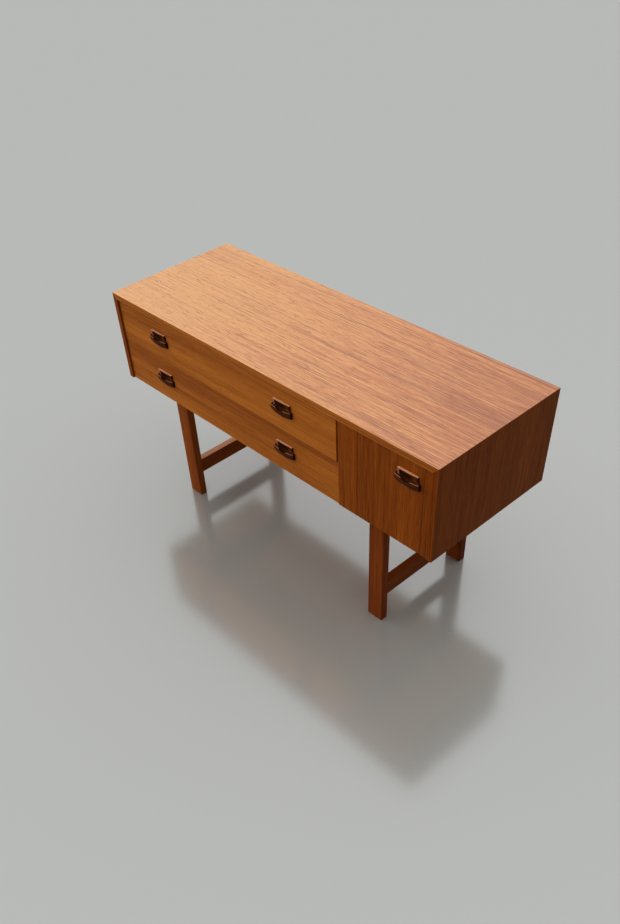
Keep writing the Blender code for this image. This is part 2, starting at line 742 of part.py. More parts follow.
def door_pieces(materials):
    """Door with a relieved hinge edge, its knife hinges, its catch and its pull"""
    carrier = pivot_empty("door_pivot", (PIVOT_X, PIVOT_Y, (FRONTS_BOTTOM + FRONTS_TOP) / 2))
    outline = [
        (DOOR_LEFT, DOOR_FACE),
        (DOOR_RIGHT, DOOR_FACE),
        (DOOR_RIGHT, DOOR_BACK),
        (DOOR_LEFT + DOOR_CHAMFER, DOOR_BACK),
        (DOOR_LEFT, DOOR_BACK - DOOR_CHAMFER),
    ]
    door = extrusion("door", outline, "Z", FRONTS_BOTTOM, FRONTS_TOP)
    ease(door, FRONT_EASE, lambda middle: middle.y < -FRONT_THICKNESS / 4)

    leaf_top = INNER_TOP + LEAF_THICKNESS
    case_leaf = extrusion("hinge_case_leaf", leaf_outline(LEAF_LENGTH), "Z", INNER_TOP, leaf_top)
    pin_low = FRONTS_TOP - PIN_REACH
    pin = turned(
        "pin", [(PIN_RADIUS, 0), (PIN_RADIUS, INNER_TOP + LEAF_THICKNESS / 2 - pin_low)],
        (PIVOT_X, PIVOT_Y, pin_low), (0, 0, 1), PIN_FACETS,
    )
    combine(case_leaf, [pin], "UNION")

    plate_top = CASE_BOTTOM - JOINT_GAP
    plate = extrusion("hinge_lower_plate", plate_outline(), "Z", plate_top - LEAF_THICKNESS, plate_top)
    pin_high = FRONTS_BOTTOM + PIN_REACH
    pin_start = plate_top - LEAF_THICKNESS / 2
    pin = turned(
        "pin", [(PIN_RADIUS, 0), (PIN_RADIUS, pin_high - pin_start)],
        (PIVOT_X, PIVOT_Y, pin_start), (0, 0, 1), PIN_FACETS,
    )
    combine(plate, [pin], "UNION")

    leaves = []
    spans = (
        ("hinge_upper_door_leaf", FRONTS_TOP - LEAF_THICKNESS, FRONTS_TOP, 1),
        ("hinge_lower_door_leaf", FRONTS_BOTTOM, FRONTS_BOTTOM + LEAF_THICKNESS, -1),
    )
    for name, z0, z1, outward in spans:
        leaf = extrusion(name, leaf_outline(LEAF_LENGTH), "Z", z0, z1)
        bore = turned(
            "bore", [(PIN_RADIUS + PIN_PLAY, 0), (PIN_RADIUS + PIN_PLAY, LEAF_THICKNESS + 2 * OVERRUN)],
            (PIVOT_X, PIVOT_Y, z0 - OVERRUN), (0, 0, 1), PIN_FACETS,
        )
        combine(leaf, [bore])
        low, high = pivot_leaf_box(z0, z1)
        low, high = grown(low, high, JOINT_GAP)
        if outward > 0:
            high.z += OVERRUN
            well_start = FRONTS_TOP - PIN_REACH - OVERRUN
        else:
            low.z -= OVERRUN
            well_start = FRONTS_BOTTOM - OVERRUN
        well = turned(
            "well", [(PIN_RADIUS + PIN_PLAY, 0), (PIN_RADIUS + PIN_PLAY, PIN_REACH + 2 * OVERRUN)],
            (PIVOT_X, PIVOT_Y, well_start), (0, 0, 1), PIN_FACETS,
        )
        combine(door, [box("pocket", low, high)])
        combine(door, [well])
        leaves.append(leaf)

    place = (RIGHT - DOOR_PULL_FROM_RIGHT, DOOR_FACE - JOINT_GAP, CASE_TOP - DOOR_PULL_DROP)
    handle = pull("pull_door", place)
    screws = pull_screws("pull_door", place, door, DOOR_BACK)

    catch_top = INNER_TOP - CATCH_DROP
    strike_x1 = INNER_RIGHT - SIDE_REVEAL - STRIKE_MARGIN
    strike = box(
        "catch_plate",
        (strike_x1 - CATCH_WIDTH, DOOR_BACK + JOINT_GAP, catch_top - CATCH_HEIGHT),
        (strike_x1, DOOR_BACK + JOINT_GAP + STRIKE_THICKNESS, catch_top),
    )
    catch_front = DOOR_BACK + STRIKE_THICKNESS + 2 * JOINT_GAP
    catch = box(
        "door_catch",
        (INNER_RIGHT - JOINT_GAP - CATCH_WIDTH, catch_front, catch_top - CATCH_HEIGHT),
        (INNER_RIGHT - JOINT_GAP, catch_front + CATCH_DEPTH, catch_top),
    )
    ease(catch, FRONT_EASE)
    finish([door], materials["veneer"], carrier)
    finish([handle], materials["carved"], carrier)
    finish(leaves, materials["brass"], carrier)
    finish([*screws, strike], materials["steel"], carrier)
    finish([case_leaf, plate], materials["brass"])
    finish([catch], materials["catch"])


def rail_box(middle_x, z0):
    """Corners of a rail between the front and rear posts of one frame"""
    half = RAIL_THICKNESS / 2
    y = -FRONT - POST_SETBACK - POST_DEPTH - JOINT_GAP
    return Vector((middle_x - half, -y, z0)), Vector((middle_x + half, y, z0 + RAIL_HEIGHT))


def tenon_box(middle_x, z0):
    """Corners of the tenons of a rail, as one bar from tip to tip"""
    low, high = rail_box(middle_x, z0)
    half = TENON_THICKNESS / 2
    tenon_low = Vector((middle_x - half, low.y - TENON_LENGTH, low.z + TENON_SHOULDER))
    tenon_high = Vector((middle_x + half, high.y + TENON_LENGTH, high.z - TENON_SHOULDER))
    return tenon_low, tenon_high


def leg_frame(side, middle_x, wood, steel):
    """Two posts, a stretcher and a top rail, tenoned together and screwed to the case"""
    rail_levels = {"_stretcher": STRETCHER_CLEARANCE, "_top_rail": RAIL_TOP - RAIL_HEIGHT}
    pieces = []
    for name, z0 in rail_levels.items():
        rail = ease(box(side + name, *rail_box(middle_x, z0)), RAIL_EASE)
        combine(rail, [box("tenon", *tenon_box(middle_x, z0))], "UNION")
        pieces.append(rail)
    top_rail = pieces[-1]
    screws = []
    for index, place in enumerate(rail_screw_places(middle_x)):
        screws.append(screw(side + "_rail_screw_" + str(index + 1), place, (0, 0, 1), RAIL_SCREW_LENGTH))
        well_depth = place[2] - (RAIL_TOP - RAIL_HEIGHT) + OVERRUN
        well_start = (place[0], place[1], place[2] - well_depth)
        combine(top_rail, [round_cutter(well_start, (0, 0, 1), COUNTERBORE_RADIUS, well_depth)])
        combine(top_rail, [screw_cutter(place, (0, 0, 1), RAIL_SCREW_LENGTH)])
    for end, outward in (("front", -1), ("rear", 1)):
        outer = outward * (-FRONT - POST_SETBACK)
        inner = outer - outward * POST_DEPTH
        post = box(
            side + "_" + end + "_post",
            (middle_x - POST_WIDTH / 2, min(outer, inner), 0),
            (middle_x + POST_WIDTH / 2, max(outer, inner), RAIL_TOP),
        )
        ease(post, POST_EASE)
        combine(post, [housing(*tenon_box(middle_x, z0)) for z0 in rail_levels.values()])
        pieces.append(post)
    finish(pieces, wood)
    finish(screws, steel)


def make_materials():
    """One material for each kind of wood, for the metals and for the catch housing"""
    return {
        "veneer": paint("teak_veneer", TEAK_VENEER_COLOUR, TEAK_VENEER_ROUGHNESS),
        "solid": paint("solid_teak", SOLID_TEAK_COLOUR, SOLID_TEAK_ROUGHNESS),
        "carved": paint("carved_teak", CARVED_TEAK_COLOUR, CARVED_TEAK_ROUGHNESS),
        "beech": paint("beech", BEECH_COLOUR, BEECH_ROUGHNESS),
        "ply": paint("plywood", PLYWOOD_COLOUR, PLYWOOD_ROUGHNESS),
        "brass": paint("brass", BRASS_COLOUR, METAL_ROUGHNESS, 1),
        "steel": paint("steel", STEEL_COLOUR, METAL_ROUGHNESS, 1),
        "catch": paint("catch_housing", CATCH_COLOUR, CATCH_ROUGHNESS),
    }


def build():
    """The whole cabinet"""
    for item in list(bpy.data.objects):
        bpy.data.objects.remove(item)
    materials = make_materials()
    case_pieces(materials)
    runners(materials["beech"])
    upper_end = DOOR_LEFT - UPPER_END_GAP
    lower_end = DOOR_LEFT - LOWER_END_GAP
    drawer("upper", upper_end, LINE_Z + LINE_GAP / 2, FRONTS_TOP, UPPER_PULL_DROP, materials)
    drawer("lower", lower_end, FRONTS_BOTTOM, LINE_Z - LINE_GAP / 2, LOWER_PULL_DROP, materials)
    door_pieces(materials)
    for side, middle_x in frame_middles().items():
        leg_frame(side, middle_x, materials["solid"], materials["steel"])


build()
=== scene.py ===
import json
import math

import bmesh
import bpy
from mathutils import Matrix, Vector

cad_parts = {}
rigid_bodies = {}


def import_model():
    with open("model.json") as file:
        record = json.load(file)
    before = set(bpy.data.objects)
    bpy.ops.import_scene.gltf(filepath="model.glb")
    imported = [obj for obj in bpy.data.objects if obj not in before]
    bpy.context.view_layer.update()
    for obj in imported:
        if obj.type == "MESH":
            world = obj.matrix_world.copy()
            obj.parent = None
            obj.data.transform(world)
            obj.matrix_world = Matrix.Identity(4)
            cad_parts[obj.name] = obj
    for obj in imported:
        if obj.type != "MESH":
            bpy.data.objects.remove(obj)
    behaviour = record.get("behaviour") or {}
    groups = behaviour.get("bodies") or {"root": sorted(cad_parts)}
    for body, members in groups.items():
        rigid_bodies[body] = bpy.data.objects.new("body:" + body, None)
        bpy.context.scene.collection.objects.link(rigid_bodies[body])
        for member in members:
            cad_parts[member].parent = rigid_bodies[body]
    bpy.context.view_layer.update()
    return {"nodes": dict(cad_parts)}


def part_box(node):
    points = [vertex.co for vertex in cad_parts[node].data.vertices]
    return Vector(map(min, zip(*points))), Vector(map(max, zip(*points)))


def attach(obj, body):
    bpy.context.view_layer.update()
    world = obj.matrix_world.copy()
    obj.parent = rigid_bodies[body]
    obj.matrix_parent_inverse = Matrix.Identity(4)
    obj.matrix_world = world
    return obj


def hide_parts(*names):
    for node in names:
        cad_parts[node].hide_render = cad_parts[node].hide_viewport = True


for left_over in list(bpy.data.objects):
    bpy.data.objects.remove(left_over)
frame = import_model()

bl_info = {
    "name": "Low Teak Cabinet",
    "version": (1, 0, 0),
    "blender": (4, 5, 0),
    "location": "3D View > Sidebar > Cabinet",
    "description": "Dresses a low cabinet with two drawers and a door, piece by piece, and sets its stage",
    "category": "Add Mesh",
}

MM = 0.001

# Modelling tolerances: vertices welded, places taken as equal, faces taken as flat or as one soft surface
WELD = 0.01 * MM
TOUCH = 0.02 * MM
FLAT_ANGLE = math.radians(0.5)
SOFT_ANGLE = math.radians(40)
CHAMFER_TURN = (35, 62)
FACE_WEIGHT = 60


def linear(code):
    """Linear colour of an sRGB hex value such as A86530"""
    channels = [int(code[place:place + 2], 16) / 255 for place in (0, 2, 4)]
    return tuple(c / 12.92 if c <= 0.04045 else ((c + 0.055) / 1.055) ** 2.4 for c in channels)


def length(name, description, millimetres):
    """Length property of a size given in millimetres"""
    return bpy.props.FloatProperty(
        name=name, description=description, default=millimetres * MM, unit="LENGTH", precision=5
    )


def colour(name, description, code):
    """Colour property of an sRGB hex value"""
    return bpy.props.FloatVectorProperty(
        name=name, description=description, default=linear(code), subtype="COLOR", size=3, min=0, max=1
    )


def amount(name, description, value, **settings):
    """Number property"""
    return bpy.props.FloatProperty(name=name, description=description, default=value, **settings)


def angle(name, description, degrees):
    """Angle property of an angle given in degrees"""
    return amount(name, description, math.radians(degrees), subtype="ANGLE", unit="ROTATION")


class CabinetEdges(bpy.types.PropertyGroup):
    """Rounding of the boards' edges"""
    case: length("Case edges", "Width taken off the outer edges of the case boards", 0.5)
    front: length("Front edges", "Second rounding of the chamfers on the drawer fronts and the door", 0.22)
    leg: length("Leg edges", "Second rounding of the chamfers on the legs and rails", 0.4)
    box: length("Box edges", "Width taken off the edges of the drawer boxes", 0.9)


class CabinetPull(bpy.types.PropertyGroup):
    """Sizes of one carved pull"""
    ledge_width: length("Ledge width", "Width of the upper ledge and its back plate", 60)
    ledge_reach: length("Ledge reach", "How far the upper ledge stands out", 5)
    ledge_height: length("Ledge height", "Height of the ledge above its cove", 9.5)
    plate_reach: length("Plate reach", "Thickness of the back plate", 3)
    plate_height: length("Plate height", "Height of the back plate, whose foot the lip hides", 34)
    height: length("Height", "Height of the whole pull", 40)
    lip_width: length("Lip width", "Width of the boat-shaped lip", 72)
    lip_drop: length("Lip drop", "Distance from the top of the pull to the top of the lip", 17)
    lip_end_reach: length("Lip end reach", "How far the lip stands out at its ends", 8.5)
    lip_middle_reach: length("Lip middle reach", "How far the lip stands out in its middle", 13)
    lip_end_height: length("Lip end height", "Height of the lip at its ends", 18)
    lip_dip: length("Lip dip", "Depth of the dip in the lip's top edge", 5)
    dip_width: length("Dip width", "Width of the dip in the lip's top edge", 36)
    hollow_width: length("Hollow width", "Width of the hollow under the ledge", 48)
    hollow_top: length("Hollow top", "Wood left above the hollow", 3)
    hollow_foot: length("Hollow foot", "Distance from the top of the pull to the foot of the hollow", 15.5)
    hollow_corner: length("Hollow corner", "Radius of the hollow's upper corners", 4)
    hollow_floor: length("Hollow floor", "Wood left behind the hollow", 2.2)
    mouth_width: length("Mouth width", "Width of the scooped finger mouth", 34)
    mouth_depth: length("Mouth depth", "Depth of the scooped finger mouth, front to back", 10.2)
    mouth_height: length("Mouth height", "Height of the scooped finger mouth", 18)
    mouth_floor: length("Mouth floor", "Wood left behind the mouth", 1.4)
    screw_spacing: length("Screw spacing", "Distance between the two screws from behind", 55)
    screw_drop: length("Screw drop", "Distance from the top of the pull to its screws", 26.5)
    grid: length("Carving grid", "Spacing of the finished pull's mesh", 0.42)


class CabinetFastenings(bpy.types.PropertyGroup):
    """Sizes of the screws"""
    head: length("Head radius", "Radius of a wood screw's countersunk head", 3.6)
    head_height: length("Head height", "Height of the countersunk head", 2.2)
    shank: length("Shank radius", "Radius of a wood screw's shank over its thread", 1.8)
    hinge_head: length("Hinge screw head", "Radius of a hinge screw's head", 2.4)
    hinge_length: length("Hinge screw length", "Length of a hinge screw", 12)
    slot: length("Slot width", "Width of the driver slot", 0.8)


class CabinetFinish(bpy.types.PropertyGroup):
    """Colours of the woods and metals: each wood goes from pale through middle to deep, with darker lines"""
    top_pale: colour("Top, pale", "Palest colour of the top's teak veneer", "BC8549")
    top_middle: colour("Top, middle", "Main colour of the top's teak veneer", "B0713B")
    top_deep: colour("Top, deep", "Deepest colour of the top's teak veneer", "8C4A20")
    top_line: colour("Top, lines", "Dark grain lines of the top's teak veneer", "6E3A1C")
    front_pale: colour("Fronts, pale", "Palest colour of the drawer fronts", "BA6F28")
    front_middle: colour("Fronts, middle", "Main colour of the drawer fronts", "A65F21")
    front_deep: colour("Fronts, deep", "Deepest colour of the drawer fronts", "8C4A18")
    front_line: colour("Fronts, lines", "Dark grain lines of the drawer fronts", "652F0F")
    door_pale: colour("Door and sides, pale", "Palest colour of the door and the case sides", "8E490E")
    door_middle: colour("Door and sides, middle", "Main colour of the door and the case sides", "7C3B0B")
    door_deep: colour("Door and sides, deep", "Deepest colour of the door and the case sides", "5F2A07")
    door_line: colour("Door and sides, lines", "Dark grain lines of the door and the case sides", "431C06")
    leg_pale: colour("Legs, pale", "Palest colour of the solid teak", "8B4716")
    leg_middle: colour("Legs, middle", "Main colour of the solid teak", "763710")
    leg_deep: colour("Legs, deep", "Deepest colour of the solid teak", "5A250A")
    leg_line: colour("Legs, lines", "Dark grain lines of the solid teak", "3F1B0A")
    pull_pale: colour("Pulls, pale", "Palest colour of the carved pulls", "D89E78")
    pull_middle: colour("Pulls, middle", "Main colour of the carved pulls", "CC8D65")
    pull_deep: colour("Pulls, deep", "Deepest colour of the carved pulls", "A86C43")
    # The pulls' line colour is also their deepest painted shade, and the next colour is their soft painted
    # shade; in the hollow and finger mouth both also stand for hand oil
    pull_line: colour("Pulls, lines", "Dark grain lines and handled places of the carved pulls", "220E06")
    pull_soft_shade: colour("Pulls, rubbed", "Carved pulls where hands have rubbed them a little", "733A18")
    beech_pale: colour("Beech, pale", "Palest colour of the drawer boxes", "DDB88C")
    beech_middle: colour("Beech, middle", "Main colour of the drawer boxes", "CFA578")
    beech_deep: colour("Beech, deep", "Deepest colour of the drawer boxes", "BE9164")
    beech_line: colour("Beech, flecks", "Flecks of the drawer boxes", "9A6C42")
    ply_face: colour("Plywood, face", "Face veneer of the plywood", "D6A878")
    ply_core: colour("Plywood, core", "Crossed inner layers of the plywood", "9C7446")
    brass: colour("Brass", "Hinges and their screws", "C9A45C")
    steel: colour("Steel", "Zinc-plated screws and strike plate", "B9BBBC")
    catch: colour("Catch", "Moulded housing of the door catch", "4A3123")
    floor: colour("Floor", "Plain pale floor", "ACAEA9")


class CabinetStage(bpy.types.PropertyGroup):
    """Lamps, floor polish and camera"""
    main_strength: amount("Main light", "Strength of the large soft light behind the left end", 1.45)
    main_spread: angle("Main spread", "Angle that the large soft light fills in the sky", 50)
    side_strength: amount("Side light", "Strength of the low soft light at the left end", 1.6)
    side_spread: angle("Side spread", "Angle that the low soft light fills in the sky", 60)
    fill_strength: amount("Fill light", "Strength of the wide light above the front", 2.4)
    fill_spread: angle("Fill spread", "Angle that the wide light above the front fills in the sky", 100)
    floor_strength: amount("Floor light", "Strength of the wide light on the floor", 2.4)
    floor_spread: angle("Floor spread", "Angle that the wide light on the floor fills in the sky", 120)
    floor_polish: amount("Floor polish", "Share of the light that the floor mirrors", 0.26, subtype="FACTOR")
    polish_roughness: amount("Polish roughness", "Roughness of the floor's polish", 0.16, subtype="FACTOR")
    surround: amount("Surround", "Strength of the even light from all round", 0.1)
    shown_surround: amount("Shown surround", "Brightness of the surround where it is seen or mirrored", 0.95)
    lens: amount("Lens", "Focal length on a 36 mm sensor", 32.388, unit="CAMERA")
    azimuth: angle("Azimuth", "Camera's angle round the cabinet, from its front to its right end", 50.92)
    elevation: angle("Elevation", "Camera's angle above the horizon", 47.35)
    roll: angle("Roll", "Camera's turn about its own view line", -4.76)
    distance: length("Distance", "Distance from the camera to the point it is aimed at", 3122.3)


# Shared steps of modelling

def select_only(piece):
    """Deselect everything and make one piece selected and active"""
    bpy.ops.object.select_all(action="DESELECT")
    piece.select_set(True)
    bpy.context.view_layer.objects.active = piece


def select_parts(piece, mode, chosen):
    """Open a piece in edit mode with only the chosen vertices, edges or faces selected"""
    select_only(piece)
    bpy.ops.object.mode_set(mode="EDIT")
    bpy.ops.mesh.select_mode(type=mode)
    bpy.ops.mesh.select_all(action="DESELECT")
    shape = bmesh.from_edit_mesh(piece.data)
    shape.normal_update()
    parts = {"VERT": shape.verts, "EDGE": shape.edges, "FACE": shape.faces}[mode]
    for part in parts:
        if chosen(part):
            part.select_set(True)
    bmesh.update_edit_mesh(piece.data)


def apply_modifier(piece, kind, **settings):
    """Add one modifier to a piece and apply it"""
    select_only(piece)
    modifier = piece.modifiers.new(kind.lower(), kind)
    for name, value in settings.items():
        setattr(modifier, name, value)
    bpy.ops.object.modifier_apply(modifier=modifier.name)


def apply_place(piece):
    """Put a piece's place, turn and scale into its mesh"""
    select_only(piece)
    bpy.ops.object.transform_apply(location=True, rotation=True, scale=True)


def add_block(name, low, high):
    """Cube primitive at its size and place, between two corners"""
    low, high = Vector(low), Vector(high)
    bpy.ops.object.select_all(action="DESELECT")
    bpy.ops.mesh.primitive_cube_add(size=1, location=(low + high) / 2, scale=high - low)
    block = bpy.context.active_object
    block.name = name
    apply_place(block)
    return block


def add_rod(name, centre, radius, depth, axis, vertices=32):
    """Cylinder primitive at its size and place, along X or Y"""
    turns = {"X": (0, math.pi / 2, 0), "Y": (math.pi / 2, 0, 0)}
    bpy.ops.object.select_all(action="DESELECT")
    bpy.ops.mesh.primitive_cylinder_add(
        vertices=vertices, radius=radius, depth=depth, location=centre, rotation=turns[axis]
    )
    rod = bpy.context.active_object
    rod.name = name
    apply_place(rod)
    return rod


def combine(piece, tool, operation):
    """Join a tool to a piece, or cut it from it, and remove the tool"""
    apply_modifier(piece, "BOOLEAN", operation=operation, object=tool, solver="EXACT")
    bpy.data.objects.remove(tool)


def copied_node(node, name):
    """Copy of a CAD node with its loose triangles merged into whole faces"""
    piece = bpy.data.objects.new(name, frame["nodes"][node].data.copy())
    bpy.context.scene.collection.objects.link(piece)
    piece.data.materials.clear()
    select_only(piece)
    bpy.ops.mesh.customdata_custom_splitnormals_clear()
    bpy.ops.object.mode_set(mode="EDIT")
    bpy.ops.mesh.select_all(action="SELECT")
    bpy.ops.mesh.remove_doubles(threshold=WELD)
    bpy.ops.mesh.dissolve_limited(angle_limit=FLAT_ANGLE)
    bpy.ops.object.mode_set(mode="OBJECT")
    return piece


def on_outer_edge(node, top_only=False):
    """Test for the edges of a board that lie on two planes of its bounding box, or only those on its top"""
    low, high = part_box(node)

    def on_plane(edge, axis, limit):
        return all(abs(vertex.co[axis] - limit) < TOUCH for vertex in edge.verts)

    def chosen(edge):
        planes = sum(on_plane(edge, axis, limit) for axis in range(3) for limit in (low[axis], high[axis]))
        return planes >= 2 and (not top_only or on_plane(edge, 2, high.z))

    return chosen


def on_chamfer(edge):
    """Test for the two edges of a chamfer: a convex turn of about 45 degrees"""
    if len(edge.link_faces) != 2:
        return False
    return CHAMFER_TURN[0] < math.degrees(edge.calc_face_angle_signed(0)) < CHAMFER_TURN[1]


def everywhere(part):
    """Test that takes every vertex, edge or face"""
    return True


def round_over(piece, width, chosen, steps=3):
    """Round the chosen edges of a piece"""
    select_parts(piece, "EDGE", chosen)
    bpy.ops.mesh.bevel(offset=width, segments=steps, profile=0.5, affect="EDGES", clamp_overlap=True)
    bpy.ops.object.mode_set(mode="OBJECT")


def turn_outwards():
    """Make all faces of the mesh in edit mode point outwards, and leave edit mode"""
    bpy.ops.mesh.select_all(action="SELECT")
    bpy.ops.mesh.normals_make_consistent(inside=False)
    bpy.ops.object.mode_set(mode="OBJECT")


def give_material(piece, finish):
    """Make a material the only one of a piece"""
    piece.data.materials.clear()
    piece.data.materials.append(finish)


def face_material(piece, finish, chosen):
    """Give the chosen faces of a piece a second material"""
    piece.data.materials.append(finish)
    for face in piece.data.polygons:
        if chosen(face):
            face.material_index = len(piece.data.materials) - 1


def dress(piece, node, body):
    """Shade a finished piece and set it on the frame, in place of a CAD node if one is named"""
    select_only(piece)
    bpy.ops.object.shade_smooth_by_angle(angle=SOFT_ANGLE)
    apply_modifier(piece, "WEIGHTED_NORMAL", keep_sharp=True, weight=FACE_WEIGHT)
    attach(piece, body)
    if node:
        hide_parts(node)


def dress_node(node, ending, width, chosen, finish, body, steps=3, faced=None):
    """Finished piece in place of a CAD node: the node's copy, with the chosen edges rounded and its material.
    faced holds a second material and the test for the faces that have it."""
    piece = copied_node(node, node + ending)
    round_over(piece, width, chosen, steps)
    give_material(piece, finish)
    if faced:
        face_material(piece, *faced)
    dress(piece, node, body)


# Materials

# Sockets of a Mix node that blends two colours. They go by place, because their names repeat.
SHARE, UNDER, OVER, BLENDED = 0, 6, 7, 2


def add_node(tree, kind, inputs=None, **settings):
    """Add a shader node with its settings, and its inputs linked or set by name or place.
    A node given as an input stands for its first output."""
    node = tree.nodes.new("ShaderNode" + kind)
    for name, value in settings.items():
        setattr(node, name, value)
    for key, value in (inputs or {}).items():
        if isinstance(value, bpy.types.Node):
            value = value.outputs[0]
        if isinstance(value, bpy.types.NodeSocket):
            tree.links.new(value, node.inputs[key])
        else:
            node.inputs[key].default_value = value
    return node


def new_material(name):
    """Material with an empty node tree"""
    material = bpy.data.materials.new(name)
    material.use_nodes = True
    material.node_tree.nodes.clear()
    return material, material.node_tree


def end_surface(tree, surface, rough, height, strength, depth, settings, inward=False):
    """Shader and output of a material. Its relief stands out where the height is high, or in if inward."""
    bump = add_node(tree, "Bump", {"Height": height, "Strength": strength, "Distance": depth}, invert=inward)
    shader = add_node(tree, "BsdfPrincipled", {
        "Base Color": surface, "Roughness": rough, "Normal": bump, **settings})
    add_node(tree, "OutputMaterial", {"Surface": shader})


def opaque(values, shade=1):
    """Colour with full alpha, as a colour socket takes it, made darker or paler by a shade"""
    return (*(channel * shade for channel in values), 1)


def along_grain(axis, along, across):
    """Mapping scale of a pattern whose patches are so many millimetres along and across the grain"""
    scale = [1 / (across * MM)] * 3
    scale["XYZ".index(axis)] = 1 / (along * MM)
    return scale


def patches(tree, place, scale, detail, start=(0, 0, 0), roughness=0.5):
    """Cloudy pattern whose patches are stretched by a mapping scale"""
    stretch = add_node(tree, "Mapping", {"Vector": place, "Location": start, "Scale": scale})
    return add_node(tree, "TexNoise", {
        "Vector": stretch, "Scale": 1, "Detail": detail, "Roughness": roughness})


# Patch sizes in millimetres, along and across the grain, with the noise detail of each layer.
# Real teak pores are 0.2 to 0.3 mm wide; these are drawn 1.6 mm wide so that they show.
TEAK = {
    "zones": (1500, 80, 1), "bands": (650, 20, 2), "lines": (560, 3.4, 2), "streaks": (80, 2.2, 3),
    "pores": (30, 1.6, 1),
}
BEECH = {
    "zones": (900, 90, 1), "bands": (700, 22, 1), "lines": (500, 14, 2), "streaks": (70, 1.6, 2),
    "pores": (2.6, 0.55, 0),
}
SWAY_PATCH = (700, 130)
SWAY_REACH = 4 * MM
GRAIN_ROUGHNESS = 0.6
# Tones at which a wood is palest and deepest, either side of its main colour
PALE_TONE, MIDDLE_TONE, DEEP_TONE = 0.22, 0.5, 0.78
# Painted shade, with hand oil, at which it covers the wood wholly, and the share of the gloss that it leaves
# there
FULL_SHADE_AND_GREASE = 0.65
SHADE_AND_GREASE_GLOSS = 0.02


def wood(name, species, axis, start, colours, drift=(0, 0, 0), centre=(0, 0, 0), zones=0.6, bands=0.8,
         lines=0.5, streaks=0.6, pores=0.35, rough=(0.38, 0.48), gloss=0.35, rubbed=None):
    """Oiled wood, its grain along one axis: broad zones, bands, dark lines, fine streaks and open pores"""
    pale, middle, deep, line = colours
    material, tree = new_material(name)
    place = add_node(tree, "TexCoord").outputs["Object"]

    # Slow wander of the grain, a few millimetres to either side
    sway = patches(tree, place, along_grain(axis, *SWAY_PATCH), 1, start)
    wander = [SWAY_REACH] * 3
    wander["XYZ".index(axis)] = 0
    bent = add_node(tree, "VectorMath", {
        0: sway.outputs["Color"], 1: wander, 2: place}, operation="MULTIPLY_ADD")
    layers = {
        layer: patches(tree, bent, along_grain(axis, along, across), detail, start, GRAIN_ROUGHNESS)
        for layer, (along, across, detail) in species.items()
    }

    # Body colour: zones, bands and streaks about the middle tone, with a slow change over the board
    shares = {"zones": zones, "bands": bands, "streaks": streaks}
    slope = add_node(tree, "VectorMath", {0: place, 1: drift}, operation="DOT_PRODUCT").outputs["Value"]
    tone = add_node(tree, "Math", {
        0: slope, 1: MIDDLE_TONE - sum(shares.values()) / 2 - Vector(drift).dot(Vector(centre))})
    for layer, share in shares.items():
        tone = add_node(tree, "Math", {0: layers[layer], 1: share, 2: tone}, operation="MULTIPLY_ADD")
    ramp = add_node(tree, "ValToRGB", {"Fac": tone})
    stops = ramp.color_ramp.elements
    stops[0].position, stops[0].color = PALE_TONE, opaque(pale)
    stops[1].position, stops[1].color = DEEP_TONE, opaque(deep)
    stops.new(MIDDLE_TONE).color = opaque(middle)

    # Dark growth lines, stronger in some zones than in others
    narrow = add_node(tree, "MapRange", {"Value": layers["lines"], "From Min": 0.53, "From Max": 0.66})
    patchy = add_node(tree, "MapRange", {
        "Value": tone, "From Min": 0.3, "From Max": 0.75, "To Min": lines * 0.35, "To Max": lines})
    marked = add_node(tree, "Math", {0: narrow, 1: patchy}, operation="MULTIPLY")
    lined = add_node(tree, "Mix", {SHARE: marked, UNDER: ramp, OVER: opaque(line)}, data_type="RGBA")

    # Open pores: short dark dashes, duller than the oiled surface and a little below it
    open_pore = add_node(tree, "MapRange", {"Value": layers["pores"], "From Min": 0.6, "From Max": 0.7})
    pore_shade = add_node(tree, "Math", {0: open_pore, 1: pores}, operation="MULTIPLY")
    surface = add_node(tree, "Mix", {
        SHARE: pore_shade, UNDER: lined.outputs[BLENDED], OVER: opaque(line)}, data_type="RGBA")
    if rubbed:
        # Painted shade, with hand oil in the pulls' hollows, stored on the carved mesh: reddish brown where
        # soft, almost black where deep. The gloss drops with it.
        shade_and_grease_amount = add_node(
            tree, "Attribute", attribute_name="handled", attribute_type="GEOMETRY").outputs["Fac"]
        streaky = add_node(tree, "Math", {0: layers["streaks"], 1: -0.8, 2: 0.4}, operation="MULTIPLY_ADD")
        thick = add_node(tree, "Math", {0: streaky, 1: shade_and_grease_amount})
        shade_and_grease_colour = add_node(tree, "Mix", {
            SHARE: thick, UNDER: opaque(rubbed), OVER: opaque(line)}, data_type="RGBA")
        cover = add_node(tree, "MapRange", {"Value": shade_and_grease_amount, "From Max": FULL_SHADE_AND_GREASE})
        surface = add_node(tree, "Mix", {
            SHARE: cover, UNDER: surface.outputs[BLENDED], OVER: shade_and_grease_colour.outputs[BLENDED]}, data_type="RGBA")
        gloss = add_node(tree, "MapRange", {
            "Value": shade_and_grease_amount, "From Max": FULL_SHADE_AND_GREASE, "To Min": gloss, "To Max": gloss * SHADE_AND_GREASE_GLOSS})

    satin = add_node(tree, "MapRange", {
        "Value": layers["streaks"], "From Min": 0.3, "From Max": 0.7, "To Min": rough[0], "To Max": rough[1]})
    dull = add_node(tree, "Math", {0: open_pore, 1: 0.2, 2: satin}, operation="MULTIPLY_ADD")
    relief = add_node(tree, "Math", {0: layers["streaks"], 1: 0.4, 2: open_pore}, operation="MULTIPLY_ADD")
    end_surface(tree, surface.outputs[BLENDED], dull, relief, 0.25, 0.08 * MM,
                {"IOR": 1.46, "Specular IOR Level": gloss}, inward=True)
    return material


SATIN = (0.45, 0.55)
WAXED = (0.4, 0.5)
WAXED_BEECH = dict(lines=0.2, streaks=0.3, pores=0.3, rough=(0.5, 0.62), gloss=0.3)
